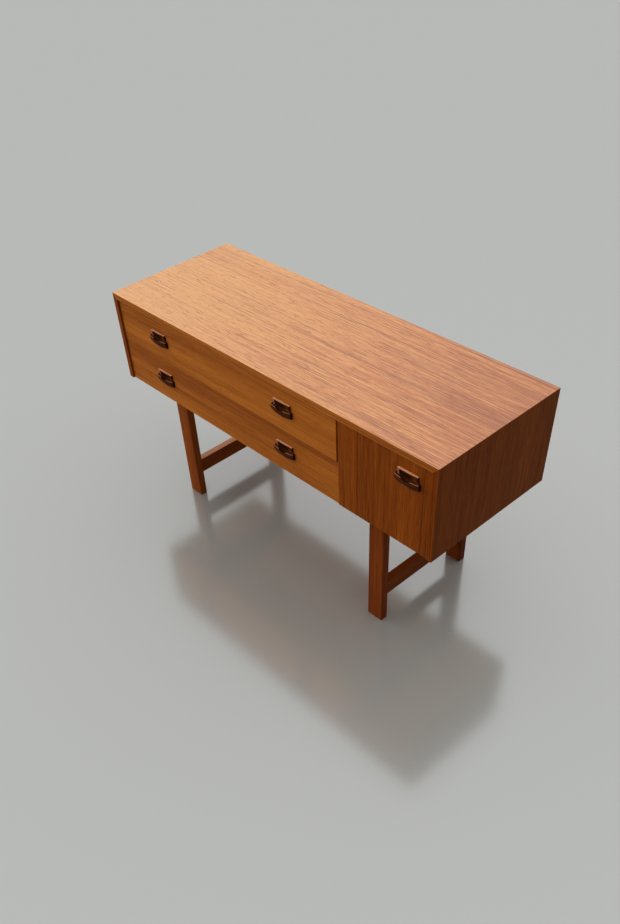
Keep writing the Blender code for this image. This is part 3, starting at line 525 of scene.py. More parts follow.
# Each wood: species, axis of the grain, start of the pattern, family of colours, and its own settings
WOODS = {
    # Oiled teak veneer: bold straight grain, warm orange-brown, deeper towards the right end of the top
    "top_teak_veneer": (TEAK, "X", (3.1, 7.7, 1.3), "top", dict(
        drift=(0.42, 0.1, 0), centre=(0.22, 0, 0), zones=0.45, bands=0.55, lines=1.2, streaks=1.5, pores=0.8,
        rough=WAXED, gloss=0.55)),
    # The same veneer upright on the sides and the partition: dark and even, with hardly any shine
    "side_teak_veneer": (TEAK, "Z", (9.4, 2.2, 5.1), "door", dict(
        zones=0.2, bands=0.25, lines=0.7, streaks=1.0, rough=SATIN, gloss=0.03)),
    # Solid teak lipping on the boards' front edges: a narrow matt band, darker towards the right
    "teak_lipping": (TEAK, "X", (1.7, 4.4, 8.2), "front", dict(
        drift=(0.22, 0, 0), centre=(-0.1, 0, 0), lines=0.6, streaks=0.8, gloss=0.03)),
    "upright_teak_lipping": (TEAK, "Z", (6.7, 1.4, 3.2), "door", dict(
        drift=(0.1, 0, 0), centre=(-0.03, 0, 0), lines=0.7, streaks=0.8, gloss=0.02)),
    # Veneer of the case's bottom: quiet grain, seen past open fronts and from below
    "inside_teak_veneer": (TEAK, "X", (5.5, 3.8, 2.9), "front", dict(lines=0.4, streaks=0.4, gloss=0.1)),
    # Level veneer of the drawer fronts: matt and golden brown, the lower front paler towards its foot
    "upper_front_teak_veneer": (TEAK, "X", (4.3, 1.9, 6.6), "front", dict(
        drift=(0.12, 0, 0), centre=(-0.1, 0, 0), lines=0.5, streaks=0.7, rough=SATIN, gloss=0.03)),
    "lower_front_teak_veneer": (TEAK, "X", (8.8, 5.2, 2.4), "front", dict(
        drift=(0, 0, 1.8), centre=(0, 0, 0.38), lines=0.6, streaks=0.7, rough=SATIN, gloss=0.03)),
    # Upright veneer of the door: deep reddish brown that sets it off from the drawers
    "door_teak_veneer": (TEAK, "Z", (2.6, 8.3, 4.7), "door", dict(
        lines=0.8, streaks=1.0, rough=SATIN, gloss=0.03)),
    # Waxed beech: pale pinkish tan with short darker flecks
    "beech_front_to_back": (BEECH, "Y", (1.2, 6.4, 3.3), "beech", WAXED_BEECH),
    "beech_left_to_right": (BEECH, "X", (7.2, 2.4, 9.3), "beech", WAXED_BEECH),
    # Solid oiled teak: redder and darker than the veneer, grain along each piece
    "upright_solid_teak": (TEAK, "Z", (5.9, 4.1, 7.3), "leg", dict(
        drift=(0.3, 0, 0), centre=(-0.05, 0, 0), lines=0.45, streaks=0.5, gloss=0.02)),
    "level_solid_teak": (TEAK, "Y", (3.7, 9.1, 2.8), "leg", dict(lines=0.45, streaks=0.5, gloss=0.02)),
    # The upper face of the left stretcher: painted paler, in the fronts' tones, for the light that reaches it
    # from the left end, and given more gloss
    "waxed_solid_teak": (TEAK, "Y", (2.4, 6.6, 1.9), "front", dict(
        lines=0.4, streaks=0.5, rough=WAXED, gloss=0.5)),
    # Solid teak of the pulls: pale, left bright on its upper faces and given painted shade elsewhere, almost
    # black in the hollow and finger mouth, where it also stands for hand oil
    "polished_carved_teak": (TEAK, "X", (6.1, 3.2, 7.9), "pull", dict(
        lines=0.5, streaks=0.5, pores=0.25, rough=(0.34, 0.44), gloss=0.55)),
}


def made(name, maker, *values, **settings):
    """Material of that name, made the first time it is asked for"""
    return bpy.data.materials.get(name) or maker(name, *values, **settings)


def wood_finish(context, name, **more):
    """One of the woods above, in the colours of the finish settings"""
    species, axis, start, family, settings = WOODS[name]
    finish = context.scene.cabinet_finish
    colours = [tuple(getattr(finish, family + "_" + tone)) for tone in ("pale", "middle", "deep", "line")]
    return made(name, wood, species, axis, start, colours, **settings, **more)


PLY_SKIN = 0.02 * MM
PLY_LAYERS = 5


def plywood(name, axis, start, face, core, outer, thickness):
    """Thin plywood: face veneer outside, crossed darker layers on its cut edges"""
    material, tree = new_material(name)
    place = add_node(tree, "TexCoord").outputs["Object"]
    level = add_node(tree, "SeparateXYZ", {0: place}).outputs["XYZ".index(axis)]
    depth = add_node(tree, "MapRange", {
        "Value": level, "From Min": outer - PLY_SKIN, "From Max": outer + thickness + PLY_SKIN,
        "To Max": PLY_LAYERS})
    pair = add_node(tree, "Math", {0: depth, 1: 2}, operation="MODULO")
    crossed = add_node(tree, "Math", {0: pair, 1: 1}, operation="GREATER_THAN")
    grain = []
    for scale in (along_grain("X", 260, 4), along_grain("Y", 120, 1.2)):
        grain.append(add_node(tree, "MapRange", {
            "Value": patches(tree, place, scale, 3, start), "From Min": 0.34, "From Max": 0.68}))
    darker = (face[0] * 0.8, face[1] * 0.74, face[2] * 0.68)
    veneer = add_node(tree, "Mix", {
        SHARE: grain[0], UNDER: opaque(face), OVER: opaque(darker)}, data_type="RGBA")
    inner = add_node(tree, "Mix", {
        SHARE: grain[1], UNDER: opaque(core), OVER: opaque(core, 0.6)}, data_type="RGBA")
    surface = add_node(tree, "Mix", {
        SHARE: crossed, UNDER: veneer.outputs[BLENDED], OVER: inner.outputs[BLENDED]}, data_type="RGBA")
    rough = add_node(tree, "MapRange", {"Value": grain[0], "To Min": 0.55, "To Max": 0.75})
    end_surface(tree, surface.outputs[BLENDED], rough, grain[0], 0.2, 0.08 * MM,
                {"IOR": 1.45, "Specular IOR Level": 0.3})
    return material


def plywood_on_node(context, node, name, axis, start):
    """Give a CAD node that stays in the scene its plywood, layered between the node's two faces"""
    finish = context.scene.cabinet_finish
    low, high = (corner["XYZ".index(axis)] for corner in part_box(node))
    give_material(frame["nodes"][node], made(
        name, plywood, axis, start, tuple(finish.ply_face), tuple(finish.ply_core), low, high - low))


def metal(name, base, tarnish, rough, patch):
    """Metal with fine scratches and dull patches of so many millimetres"""
    material, tree = new_material(name)
    place = add_node(tree, "TexCoord").outputs["Object"]
    cloud = add_node(tree, "TexNoise", {"Vector": place, "Scale": 1 / (patch * MM), "Detail": 4})
    scratch = patches(tree, place, along_grain("X", 6, 0.25), 1)
    dulled = add_node(tree, "MapRange", {"Value": cloud, "From Min": 0.4, "From Max": 0.75, "To Max": 0.6})
    surface = add_node(tree, "Mix", {
        SHARE: dulled, UNDER: opaque(base), OVER: opaque(tarnish)}, data_type="RGBA")
    sheen = add_node(tree, "MapRange", {
        "Value": scratch, "From Min": 0.3, "From Max": 0.7, "To Min": rough, "To Max": rough + 0.15})
    end_surface(tree, surface.outputs[BLENDED], sheen, scratch, 0.1, 0.02 * MM, {"Metallic": 1})
    return material


def moulded_plastic(name, base):
    """Moulded plastic with a fine even texture that breaks up its shine"""
    material, tree = new_material(name)
    place = add_node(tree, "TexCoord").outputs["Object"]
    grit = add_node(tree, "TexNoise", {"Vector": place, "Scale": 1 / (0.5 * MM), "Detail": 2})
    flow = add_node(tree, "TexNoise", {"Vector": place, "Scale": 1 / (12 * MM), "Detail": 2})
    surface = add_node(tree, "Mix", {
        SHARE: flow, UNDER: opaque(base), OVER: opaque(base, 1.4)}, data_type="RGBA")
    rough = add_node(tree, "MapRange", {"Value": grit, "To Min": 0.38, "To Max": 0.55})
    end_surface(tree, surface.outputs[BLENDED], rough, grit, 0.2, 0.05 * MM, {"IOR": 1.5})
    return material


def steel_finish(context):
    """Zinc-plated steel: cool grey with cloudy dull patches"""
    base = tuple(context.scene.cabinet_finish.steel)
    return made("zinc_plated_steel", metal, base, linear("8C8E8E"), 0.3, 5)


def brass_finish(context):
    """Rolled brass, a little tarnished: warm yellow going brown in patches"""
    base = tuple(context.scene.cabinet_finish.brass)
    return made("rolled_brass", metal, base, linear("8E6C34"), 0.26, 7)


class CABINET_OT_case(bpy.types.Operator):
    """Case boards with their outer edges rounded, and the back panel"""
    bl_idname = "cabinet.case"
    bl_label = "Case Boards"

    def execute(self, context):
        # Each board: its veneer and the lipping on its front edge
        boards = {
            "case_top": ("top_teak_veneer", "teak_lipping"),
            "left_side": ("side_teak_veneer", "upright_teak_lipping"),
            "right_side": ("side_teak_veneer", "upright_teak_lipping"),
            "case_bottom": ("inside_teak_veneer", "teak_lipping"),
            "partition": ("side_teak_veneer", "upright_teak_lipping"),
        }
        for node, (faces, front_edge) in boards.items():
            dress_node(node, "_board", context.scene.cabinet_edges.case, on_outer_edge(node),
                       wood_finish(context, faces), "case",
                       faced=(wood_finish(context, front_edge), lambda face: face.normal.y < -0.5))
        plywood_on_node(context, "back_panel", "back_plywood", "Y", (2.2, 0.4, 6.1))
        return {"FINISHED"}


class CABINET_OT_fronts(bpy.types.Operator):
    """Two drawer fronts and the door, with the arrises of their faces rounded"""
    bl_idname = "cabinet.fronts"
    bl_label = "Drawer Fronts and Door"

    def execute(self, context):
        pieces = (
            ("upper_drawer_front", "upper_drawer", "upper_front_teak_veneer"),
            ("lower_drawer_front", "lower_drawer", "lower_front_teak_veneer"),
            ("door", "door", "door_teak_veneer"),
        )
        for node, body, veneer in pieces:
            dress_node(node, "_board", context.scene.cabinet_edges.front, on_chamfer,
                       wood_finish(context, veneer), body, steps=2)
        return {"FINISHED"}


class CABINET_OT_drawer_boxes(bpy.types.Operator):
    """Sides, backs, plywood bottoms and runners of the two drawers"""
    bl_idname = "cabinet.drawer_boxes"
    bl_label = "Drawer Boxes"

    def execute(self, context):
        edge_width = context.scene.cabinet_edges.box
        runs = wood_finish(context, "beech_front_to_back")
        across = wood_finish(context, "beech_left_to_right")
        for level in ("upper", "lower"):
            body = level + "_drawer"
            for part, grain in (("left_side", runs), ("right_side", runs), ("back", across)):
                node = body + "_" + part
                dress_node(node, "_board", edge_width, on_outer_edge(node, top_only=True),
                           grain, body, steps=4)
            for side in ("left", "right"):
                node = level + "_" + side + "_runner"
                dress_node(node, "_strip", edge_width / 2, on_outer_edge(node),
                           runs, "case", steps=2)
            bottom = body + "_bottom"
            plywood_on_node(context, bottom, body + "_plywood", "Z", (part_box(bottom)[0].z, 3.3, 1.1))
        return {"FINISHED"}


class CABINET_OT_leg_frames(bpy.types.Operator):
    """Posts, stretchers and top rails of the two leg frames"""
    bl_idname = "cabinet.leg_frames"
    bl_label = "Leg Frames"

    def execute(self, context):
        upright = wood_finish(context, "upright_solid_teak")
        level = wood_finish(context, "level_solid_teak")
        parts = {"front_post": upright, "rear_post": upright, "stretcher": level, "top_rail": level}
        for side in ("left", "right"):
            for part, grain in parts.items():
                node = side + "_" + part
                faced = None
                # Painted light: only the left stretcher's upper face gets the paler teak, for the light from
                # the left end
                if node == "left_stretcher":
                    faced = (wood_finish(context, "waxed_solid_teak"), lambda face: face.normal.z > 0.5)
                dress_node(node, "_piece", context.scene.cabinet_edges.leg, on_chamfer,
                           grain, "case", steps=2, faced=faced)
        return {"FINISHED"}


# Carving of the pulls
LIP_GRID = (72, 20)
COVE_SIDES = 48
HOLLOW_STEPS = 8
MOUTH_SIDES = (64, 40)
BORE_RADIUS = 2.1 * MM
BORE_DEPTH = 8.6 * MM
BORE_SETBACK = 2.6 * MM
SOFTENING_PASSES = 5
# How dark the painted shade makes the places of a pull, from 0 to 1, with hand oil in the hollow and finger
# mouth. The second of a pair is added to the first.
MOUTH_SHADE_AND_GREASE = 0.97
END_SHADE = 0.92
DIP_SHADE = 0.88
RIM_SHADE, SHELF_SHADE = 0.3, 0.55
FOOT_SHADE, FRONT_SHADE = 0.35, 0.33
LEDGE_SHADE, RIGHT_LEDGE_SHADE = 0.4, 0.35


def lip_section(pull, across, down):
    """Point on the lip's front: across runs -1 to 1 between its ends, down runs 0 to 1 from top to foot"""
    crown = 1 - across ** 2
    front = pull.lip_end_reach + (pull.lip_middle_reach - pull.lip_end_reach) * crown
    middle_height = pull.height - pull.lip_drop
    height = pull.lip_end_height + (middle_height - pull.lip_end_height) * crown
    from_dip = min(abs(across) * pull.lip_width / pull.dip_width, 1)
    dip = pull.lip_dip * math.cos(math.pi / 2 * from_dip) ** 2
    turn = math.pi / 2 * down
    out = pull.plate_reach + (front - pull.plate_reach) * math.cos(turn)
    return Vector((
        across * pull.lip_width / 2, -out, -pull.lip_drop - dip - (height - dip) * math.sin(turn)))


def climb(value, start, end):
    """Share of the way from start to end, held between 0 and 1"""
    return min(1, max(0, (value - start) / (end - start)))


def shade_and_grease_at(pull, place, normal):
    """How dark the painted shade makes the wood at a point of the pull, 0 to 1, with hand oil in the hollow
    and the finger mouth
    """
    # Painted shade, with hand oil, inside the finger mouth
    off = place + Vector((0, pull.mouth_floor + pull.mouth_depth / 2, pull.lip_drop))
    size = Vector((pull.mouth_width, pull.mouth_depth, pull.mouth_height)) / 2
    from_middle = sum((off[axis] / size[axis]) ** 2 for axis in range(3))
    scoop = MOUTH_SHADE_AND_GREASE * (1 - climb(from_middle, 0.93, 1.25))
    # Painted shade on the ends, which face away from the light
    end = END_SHADE if abs(normal.x) > 0.6 else 0
    if place.z < -pull.lip_drop + 0.4 * MM:
        # Painted light and shade on the lip: its front rim beside the dip, and a pale foot in its middle, are
        # left bright as painted highlights. Its front, the dip and the shelf behind the rim, under the ledge,
        # get painted shade.
        rim = lip_section(pull, 2 * place.x / pull.lip_width, 0)
        in_dip = 1 - climb(abs(place.x), 11 * MM, 17 * MM)
        shelf = max(RIM_SHADE + SHELF_SHADE * climb(place.y - rim.y, 0.8 * MM, 2.6 * MM), DIP_SHADE * in_dip)
        middle = 1 - climb(abs(place.x + 3 * MM), 6 * MM, 14 * MM)
        front = FOOT_SHADE + FRONT_SHADE * climb(
            place.z + pull.height, 5 * MM * middle, 2 * MM + 6 * MM * middle)
        return max(scoop, end, front + (shelf - front) * climb(normal.z, 0.3, 0.7))
    # Painted shade, with hand oil, in the hollow under the ledge, lighter towards the right where light
    # reaches its back wall
    inside = abs(place.x) < pull.hollow_width / 2 + 0.3 * MM and place.z < -pull.hollow_top - 0.8 * MM
    if inside and place.y > -pull.ledge_reach * 0.9:
        return max(scoop, end, MOUTH_SHADE_AND_GREASE - 0.35 * climb(place.x, 4 * MM, 18 * MM))
    # Painted shade on the ledge's fronts and ends, deeper towards the right; its upper faces are left bright
    # as lit from above
    ledge = LEDGE_SHADE + RIGHT_LEDGE_SHADE * climb(place.x, 0, pull.hollow_width / 2)
    return max(scoop, end, ledge * (1 - climb(normal.z, 0, 0.7)))


def model_pull(pull):
    """One carved pull with its top back edge centred on the origin: ledge, plate, lip and finger mouth"""
    half = pull.ledge_width / 2
    cove = pull.ledge_reach - pull.plate_reach
    body = add_block("pull", (-half, -pull.ledge_reach, -pull.ledge_height - cove), (half, 0, 0))
    combine(body, add_rod("cove", (0, -pull.ledge_reach, -pull.ledge_height - cove), cove,
                          pull.ledge_width * 1.1, "X", COVE_SIDES), "DIFFERENCE")
    plate_top = -pull.ledge_height - cove / 2
    plate = add_block("plate", (-half, -pull.plate_reach, -pull.plate_height), (half, 0, plate_top))
    combine(body, plate, "UNION")

    half_hollow = pull.hollow_width / 2
    hollow = add_block("hollow", (-half_hollow, -pull.ledge_reach - MM, -pull.hollow_foot),
                       (half_hollow, -pull.hollow_floor, -pull.hollow_top))

    def on_upper_corner(edge):
        near, far = edge.verts
        on_top = all(vertex.co.z > -pull.hollow_top - WELD for vertex in (near, far))
        return on_top and abs(near.co.x - far.co.x) < WELD

    round_over(hollow, pull.hollow_corner, on_upper_corner, steps=HOLLOW_STEPS)
    combine(body, hollow, "DIFFERENCE")

    # The lip starts as a grid that is laid over its curved front, then drawn back to the plate
    bpy.ops.object.select_all(action="DESELECT")
    bpy.ops.mesh.primitive_grid_add(x_subdivisions=LIP_GRID[0], y_subdivisions=LIP_GRID[1], size=2)
    lip = bpy.context.active_object
    for vertex in lip.data.vertices:
        vertex.co = lip_section(pull, vertex.co.x, (1 - vertex.co.y) / 2)
    select_parts(lip, "FACE", everywhere)
    bpy.ops.mesh.extrude_region_move()
    bpy.ops.transform.resize(value=(1, 0, 1), center_override=(0, 0, 0))
    turn_outwards()
    combine(body, lip, "UNION")

    bpy.ops.object.select_all(action="DESELECT")
    bpy.ops.mesh.primitive_uv_sphere_add(
        segments=MOUTH_SIDES[0], ring_count=MOUTH_SIDES[1], radius=0.5,
        location=(0, -pull.mouth_floor - pull.mouth_depth / 2, -pull.lip_drop),
        scale=(pull.mouth_width, pull.mouth_depth, pull.mouth_height))
    mouth = bpy.context.active_object
    apply_place(mouth)
    combine(body, mouth, "DIFFERENCE")
    for side in (-1, 1):
        bore = (side * pull.screw_spacing / 2, -BORE_SETBACK, -pull.screw_drop)
        combine(body, add_rod("bore", bore, BORE_RADIUS, BORE_DEPTH, "Y"), "DIFFERENCE")

    # Carved softness: an even fine mesh, its edges worn round by a few passes of smoothing
    apply_modifier(body, "REMESH", mode="VOXEL", voxel_size=pull.grid)
    apply_modifier(body, "SMOOTH", factor=0.5, iterations=SOFTENING_PASSES)

    # Painted shade, with hand oil in the hollow and mouth, kept on each vertex for the material
    shade_layer = body.data.attributes.new("handled", "FLOAT", "POINT")
    for index, vertex in enumerate(body.data.vertices):
        shade_layer.data[index].value = shade_and_grease_at(pull, vertex.co, vertex.normal)
    return body


class CABINET_OT_pulls(bpy.types.Operator):
    """Five carved pulls, modelled once and copied to their places"""
    bl_idname = "cabinet.pulls"
    bl_label = "Carved Pulls"

    def execute(self, context):
        # The carved teak takes the soft painted shade colour, mixed in by each pull's stored shade values
        carved = wood_finish(context, "polished_carved_teak",
                             rubbed=tuple(context.scene.cabinet_finish.pull_soft_shade))
        pattern = model_pull(context.scene.cabinet_pull)
        places = {
            "pull_upper_left": "upper_drawer", "pull_upper_right": "upper_drawer",
            "pull_lower_left": "lower_drawer", "pull_lower_right": "lower_drawer",
            "pull_door": "door",
        }
        for node, body in places.items():
            low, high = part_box(node)
            piece = bpy.data.objects.new("carved_" + node, pattern.data.copy())
            context.scene.collection.objects.link(piece)
            piece.location = ((low.x + high.x) / 2, high.y, high.z)
            apply_place(piece)
            give_material(piece, carved)
            bpy.ops.object.shade_smooth()
            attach(piece, body)
            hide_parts(node)
        bpy.data.objects.remove(pattern)
        return {"FINISHED"}


# Screws: the shares of the shank's radius that is core, of the length that is head and plain neck,
# and of the head's radius that is flat face
CORE = 0.72
NECK = 0.34
HEAD_RIM = 0.94
HEAD_SIDES = 28
RIDGES = 7
# Small screws of the hinges, the catch and the strike plate
SMALL_HEAD_HEIGHT = 1.5 * MM
SMALL_SHANK = 1.3 * MM
SMALL_SLOT = 0.6 * MM
# Turn from one screw's slot to the next, so that they point all ways as on hand-driven screws
SLOT_TURN = 0.83
HINGE_SLOT_TURN = 1.1
# Door catch: its screws, and the pole plates in its recess on either side of the magnet
CATCH_SCREW = 10 * MM
CATCH_SCREW_INSET = 9 * MM
STRIKE_SCREW_INSET = 6 * MM
POLE_INSET = 3.2 * MM
POLE_THICKNESS = 1.6 * MM
# Countersink of a small screw: it stands a hair proud of the leaf, so that it cuts through its face
SINK_PLAY = 0.15 * MM
SINK_SHANK = 2.1 * MM
SINK_DEPTH = 4 * MM
SINK_SLOT = 0.01 * MM
SINK_LIFT = 0.02 * MM


def model_screw(name, head, head_height, shank, tip, slot):
    """Countersunk slotted screw: face on the origin, driven down along -Z to its tip, with a ridged thread"""
    bpy.ops.object.select_all(action="DESELECT")
    bpy.ops.mesh.primitive_circle_add(vertices=HEAD_SIDES, radius=head * HEAD_RIM, fill_type="NGON")
    screw = bpy.context.active_object
    screw.name = name
    stations = [(head, 0.12 * MM), (head, 0.3 * MM), (shank * CORE, head_height), (shank * CORE, tip * NECK)]
    pitch = tip * 0.5 / RIDGES
    for ridge in range(RIDGES):
        depth = tip * NECK + ridge * pitch
        stations += [(shank, depth + pitch * 0.5), (shank * CORE, depth + pitch)]
    stations += [(shank * 0.3, tip * 0.95), (shank * 0.12, tip)]
    select_parts(screw, "FACE", everywhere)
    last_radius, last_depth = head * HEAD_RIM, 0
    for radius, depth in stations:
        bpy.ops.mesh.extrude_region_move(TRANSFORM_OT_translate={"value": (0, 0, last_depth - depth)})
        ratio = radius / last_radius
        bpy.ops.transform.resize(value=(ratio, ratio, 1), center_override=(0, 0, -depth))
        last_radius, last_depth = radius, depth
    turn_outwards()
    blade = add_block("blade", (-head * 1.1, -slot / 2, -head_height * 0.42), (head * 1.1, slot / 2, MM))
    combine(screw, blade, "DIFFERENCE")
    return screw


def small_screw(context, name, tip):
    """Screw of the hinges, the catch and the strike plate"""
    head = context.scene.cabinet_fastenings.hinge_head
    return model_screw(name, head, SMALL_HEAD_HEIGHT, SMALL_SHANK, tip, SMALL_SLOT)


def place_screw(mesh, place, outward, turn=0):
    """Move a screw's mesh so that its face lies on a place, its head outward and its slot turned"""
    tilt = Vector((0, 0, 1)).rotation_difference(Vector(outward)).to_matrix().to_4x4()
    mesh.transform(Matrix.Translation(place) @ tilt @ Matrix.Rotation(turn, 4, "Z"))


def drive_screw(pattern, name, place, outward, turn, node, body, finish):
    """Copy of a screw, driven into its place"""
    piece = bpy.data.objects.new(name, pattern.data.copy())
    bpy.context.scene.collection.objects.link(piece)
    place_screw(piece.data, place, outward, turn)
    give_material(piece, finish)
    dress(piece, node, body)


class CABINET_OT_screws(bpy.types.Operator):
    """Slotted wood screws of the pulls, the back panel and the leg frames"""
    bl_idname = "cabinet.screws"
    bl_label = "Wood Screws"

    def execute(self, context):
        sizes = context.scene.cabinet_fastenings
        steel = steel_finish(context)
        carriers = {"pull_upper": "upper_drawer", "pull_lower": "lower_drawer", "pull_door": "door"}
        patterns = {}
        nodes = sorted(node for node in frame["nodes"] if "_screw_" in node)
        for index, node in enumerate(nodes):
            low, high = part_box(node)
            upward = "rail" in node
            tip = round(high.z - low.z if upward else high.y - low.y, 5)
            if tip not in patterns:
                patterns[tip] = model_screw(
                    "screw", sizes.head, sizes.head_height, sizes.shank, tip, sizes.slot)
            middle = (low + high) / 2
            place = (middle.x, middle.y, low.z) if upward else (middle.x, high.y, middle.z)
            outward = (0, 0, -1) if upward else (0, 1, 0)
            body = next((carrier for start, carrier in carriers.items() if node.startswith(start)), "case")
            drive_screw(patterns[tip], "slotted_" + node, place, outward, index * SLOT_TURN,
                        node, body, steel)
        for pattern in patterns.values():
            bpy.data.objects.remove(pattern)
        return {"FINISHED"}


class CABINET_OT_hinges(bpy.types.Operator):
    """Brass knife hinges with countersunk brass screws"""
    bl_idname = "cabinet.hinges"
    bl_label = "Knife Hinges"

    def execute(self, context):
        sizes = context.scene.cabinet_fastenings
        brass = brass_finish(context)
        pattern = small_screw(context, "hinge_screw", sizes.hinge_length)
        # Each leaf: its body, the way its screws face, and their distances from its right or rear end
        leaves = (
            ("hinge_case_leaf", "case", (0, 0, -1), (7 * MM, 30 * MM)),
            ("hinge_lower_plate", "case", (0, 0, -1), (8 * MM, 32 * MM)),
            ("hinge_upper_door_leaf", "door", (0, 0, 1), (7 * MM, 30 * MM)),
            ("hinge_lower_door_leaf", "door", (0, 0, -1), (7 * MM, 30 * MM)),
        )
        for node, body, outward, insets in leaves:
            leaf = copied_node(node, node + "_plate")
            low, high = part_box(node)
            level = high.z if outward[2] > 0 else low.z
            if node == "hinge_case_leaf":
                # The pin hangs lower, and the leaf itself lies flush with the underside of the top
                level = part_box("case_top")[0].z
            for index, inset in enumerate(insets):
                face = Vector((high.x - inset, (low.y + high.y) / 2, level))
                if node == "hinge_lower_plate":
                    face = Vector(((low.x + high.x) / 2, high.y - inset, level))
                sink = model_screw("sink", sizes.hinge_head + SINK_PLAY, SMALL_HEAD_HEIGHT, SINK_SHANK,
                                   SINK_DEPTH, SINK_SLOT)
                place_screw(sink.data, face + Vector(outward) * SINK_LIFT, outward)
                combine(leaf, sink, "DIFFERENCE")
                drive_screw(pattern, "brass_" + node + "_screw_" + str(index + 1), face, outward,
                            index * HINGE_SLOT_TURN + len(node), None, body, brass)
            give_material(leaf, brass)
            dress(leaf, node, body)
        bpy.data.objects.remove(pattern)
        return {"FINISHED"}


class CABINET_OT_catch(bpy.types.Operator):
    """Magnetic door catch with its pole plates, and the strike plate on the door"""
    bl_idname = "cabinet.catch"
    bl_label = "Door Catch"

    def execute(self, context):
        steel = steel_finish(context)
        low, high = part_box("door_catch")

        def block_in_front(name, wall, end, front, back):
            """Block so far from the housing's walls and ends, between two depths behind its front"""
            return add_block(name, (low.x + wall, low.y + front, low.z + end),
                             (high.x - wall, low.y + back, high.z - end))

        # The front is let in between its walls, and the magnet and its two pole plates stand in it
        housing = add_block("catch_housing", low, high)
        round_over(housing, MM, everywhere)
        combine(housing, block_in_front("recess", 2.5 * MM, 3 * MM, -MM, 1.5 * MM), "DIFFERENCE")
        # Moulded plastic: dark brown and softly shining, with a fine grit
        give_material(housing, made(
            "moulded_catch_plastic", moulded_plastic, tuple(context.scene.cabinet_finish.catch)))
        dress(housing, "door_catch", "case")
        for index, side in enumerate((low.x + POLE_INSET, high.x - POLE_INSET - POLE_THICKNESS)):
            pole = add_block("pole_plate_" + str(index + 1), (side, low.y + 0.1 * MM, low.z + 4 * MM),
                             (side + POLE_THICKNESS, low.y + 4 * MM, high.z - 4 * MM))
            round_over(pole, 0.25 * MM, everywhere, steps=2)
            give_material(pole, steel)
            dress(pole, None, "case")
        magnet = block_in_front("catch_magnet", 5 * MM, 4.5 * MM, 0.5 * MM, 4 * MM)
        round_over(magnet, 0.3 * MM, everywhere, steps=2)
        # Sintered ferrite: near black, with a gritty face
        give_material(magnet, made("magnet_ferrite", moulded_plastic, linear("2B2A2A")))
        dress(magnet, None, "case")

        small = small_screw(context, "catch_screw", CATCH_SCREW)
        for index, height in enumerate((low.z + CATCH_SCREW_INSET, high.z - CATCH_SCREW_INSET)):
            place = (low.x, high.y - CATCH_SCREW_INSET, height)
            drive_screw(small, "catch_screw_" + str(index + 1), place, (-1, 0, 0),
                        0.6 + index, None, "case", steel)
        # The plate's piece has a name of its own, so it isn't made by dress_node
        strike = copied_node("catch_plate", "strike_plate")
        round_over(strike, 0.3 * MM, on_outer_edge("catch_plate"), steps=2)
        give_material(strike, steel)
        dress(strike, "catch_plate", "door")
        low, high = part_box("catch_plate")
        for index, height in enumerate((low.z + STRIKE_SCREW_INSET, high.z - STRIKE_SCREW_INSET)):
            place = ((low.x + high.x) / 2, high.y, height)
            drive_screw(small, "strike_screw_" + str(index + 1), place, (0, 1, 0),
                        1.9 - index, None, "door", steel)
        bpy.data.objects.remove(small)
        return {"FINISHED"}


# Stage
FLOOR_SIZE = 60
LAMP_DISTANCE = 3
SENSOR_WIDTH = 36
VIEW_REACH = 200
# Point that the camera's view line passes through, and the shift that gives the photograph's framing
AIM = Vector((-0.1788, 0, -0.6204))
FRAME_SHIFT = (0.0189, 0.1781)


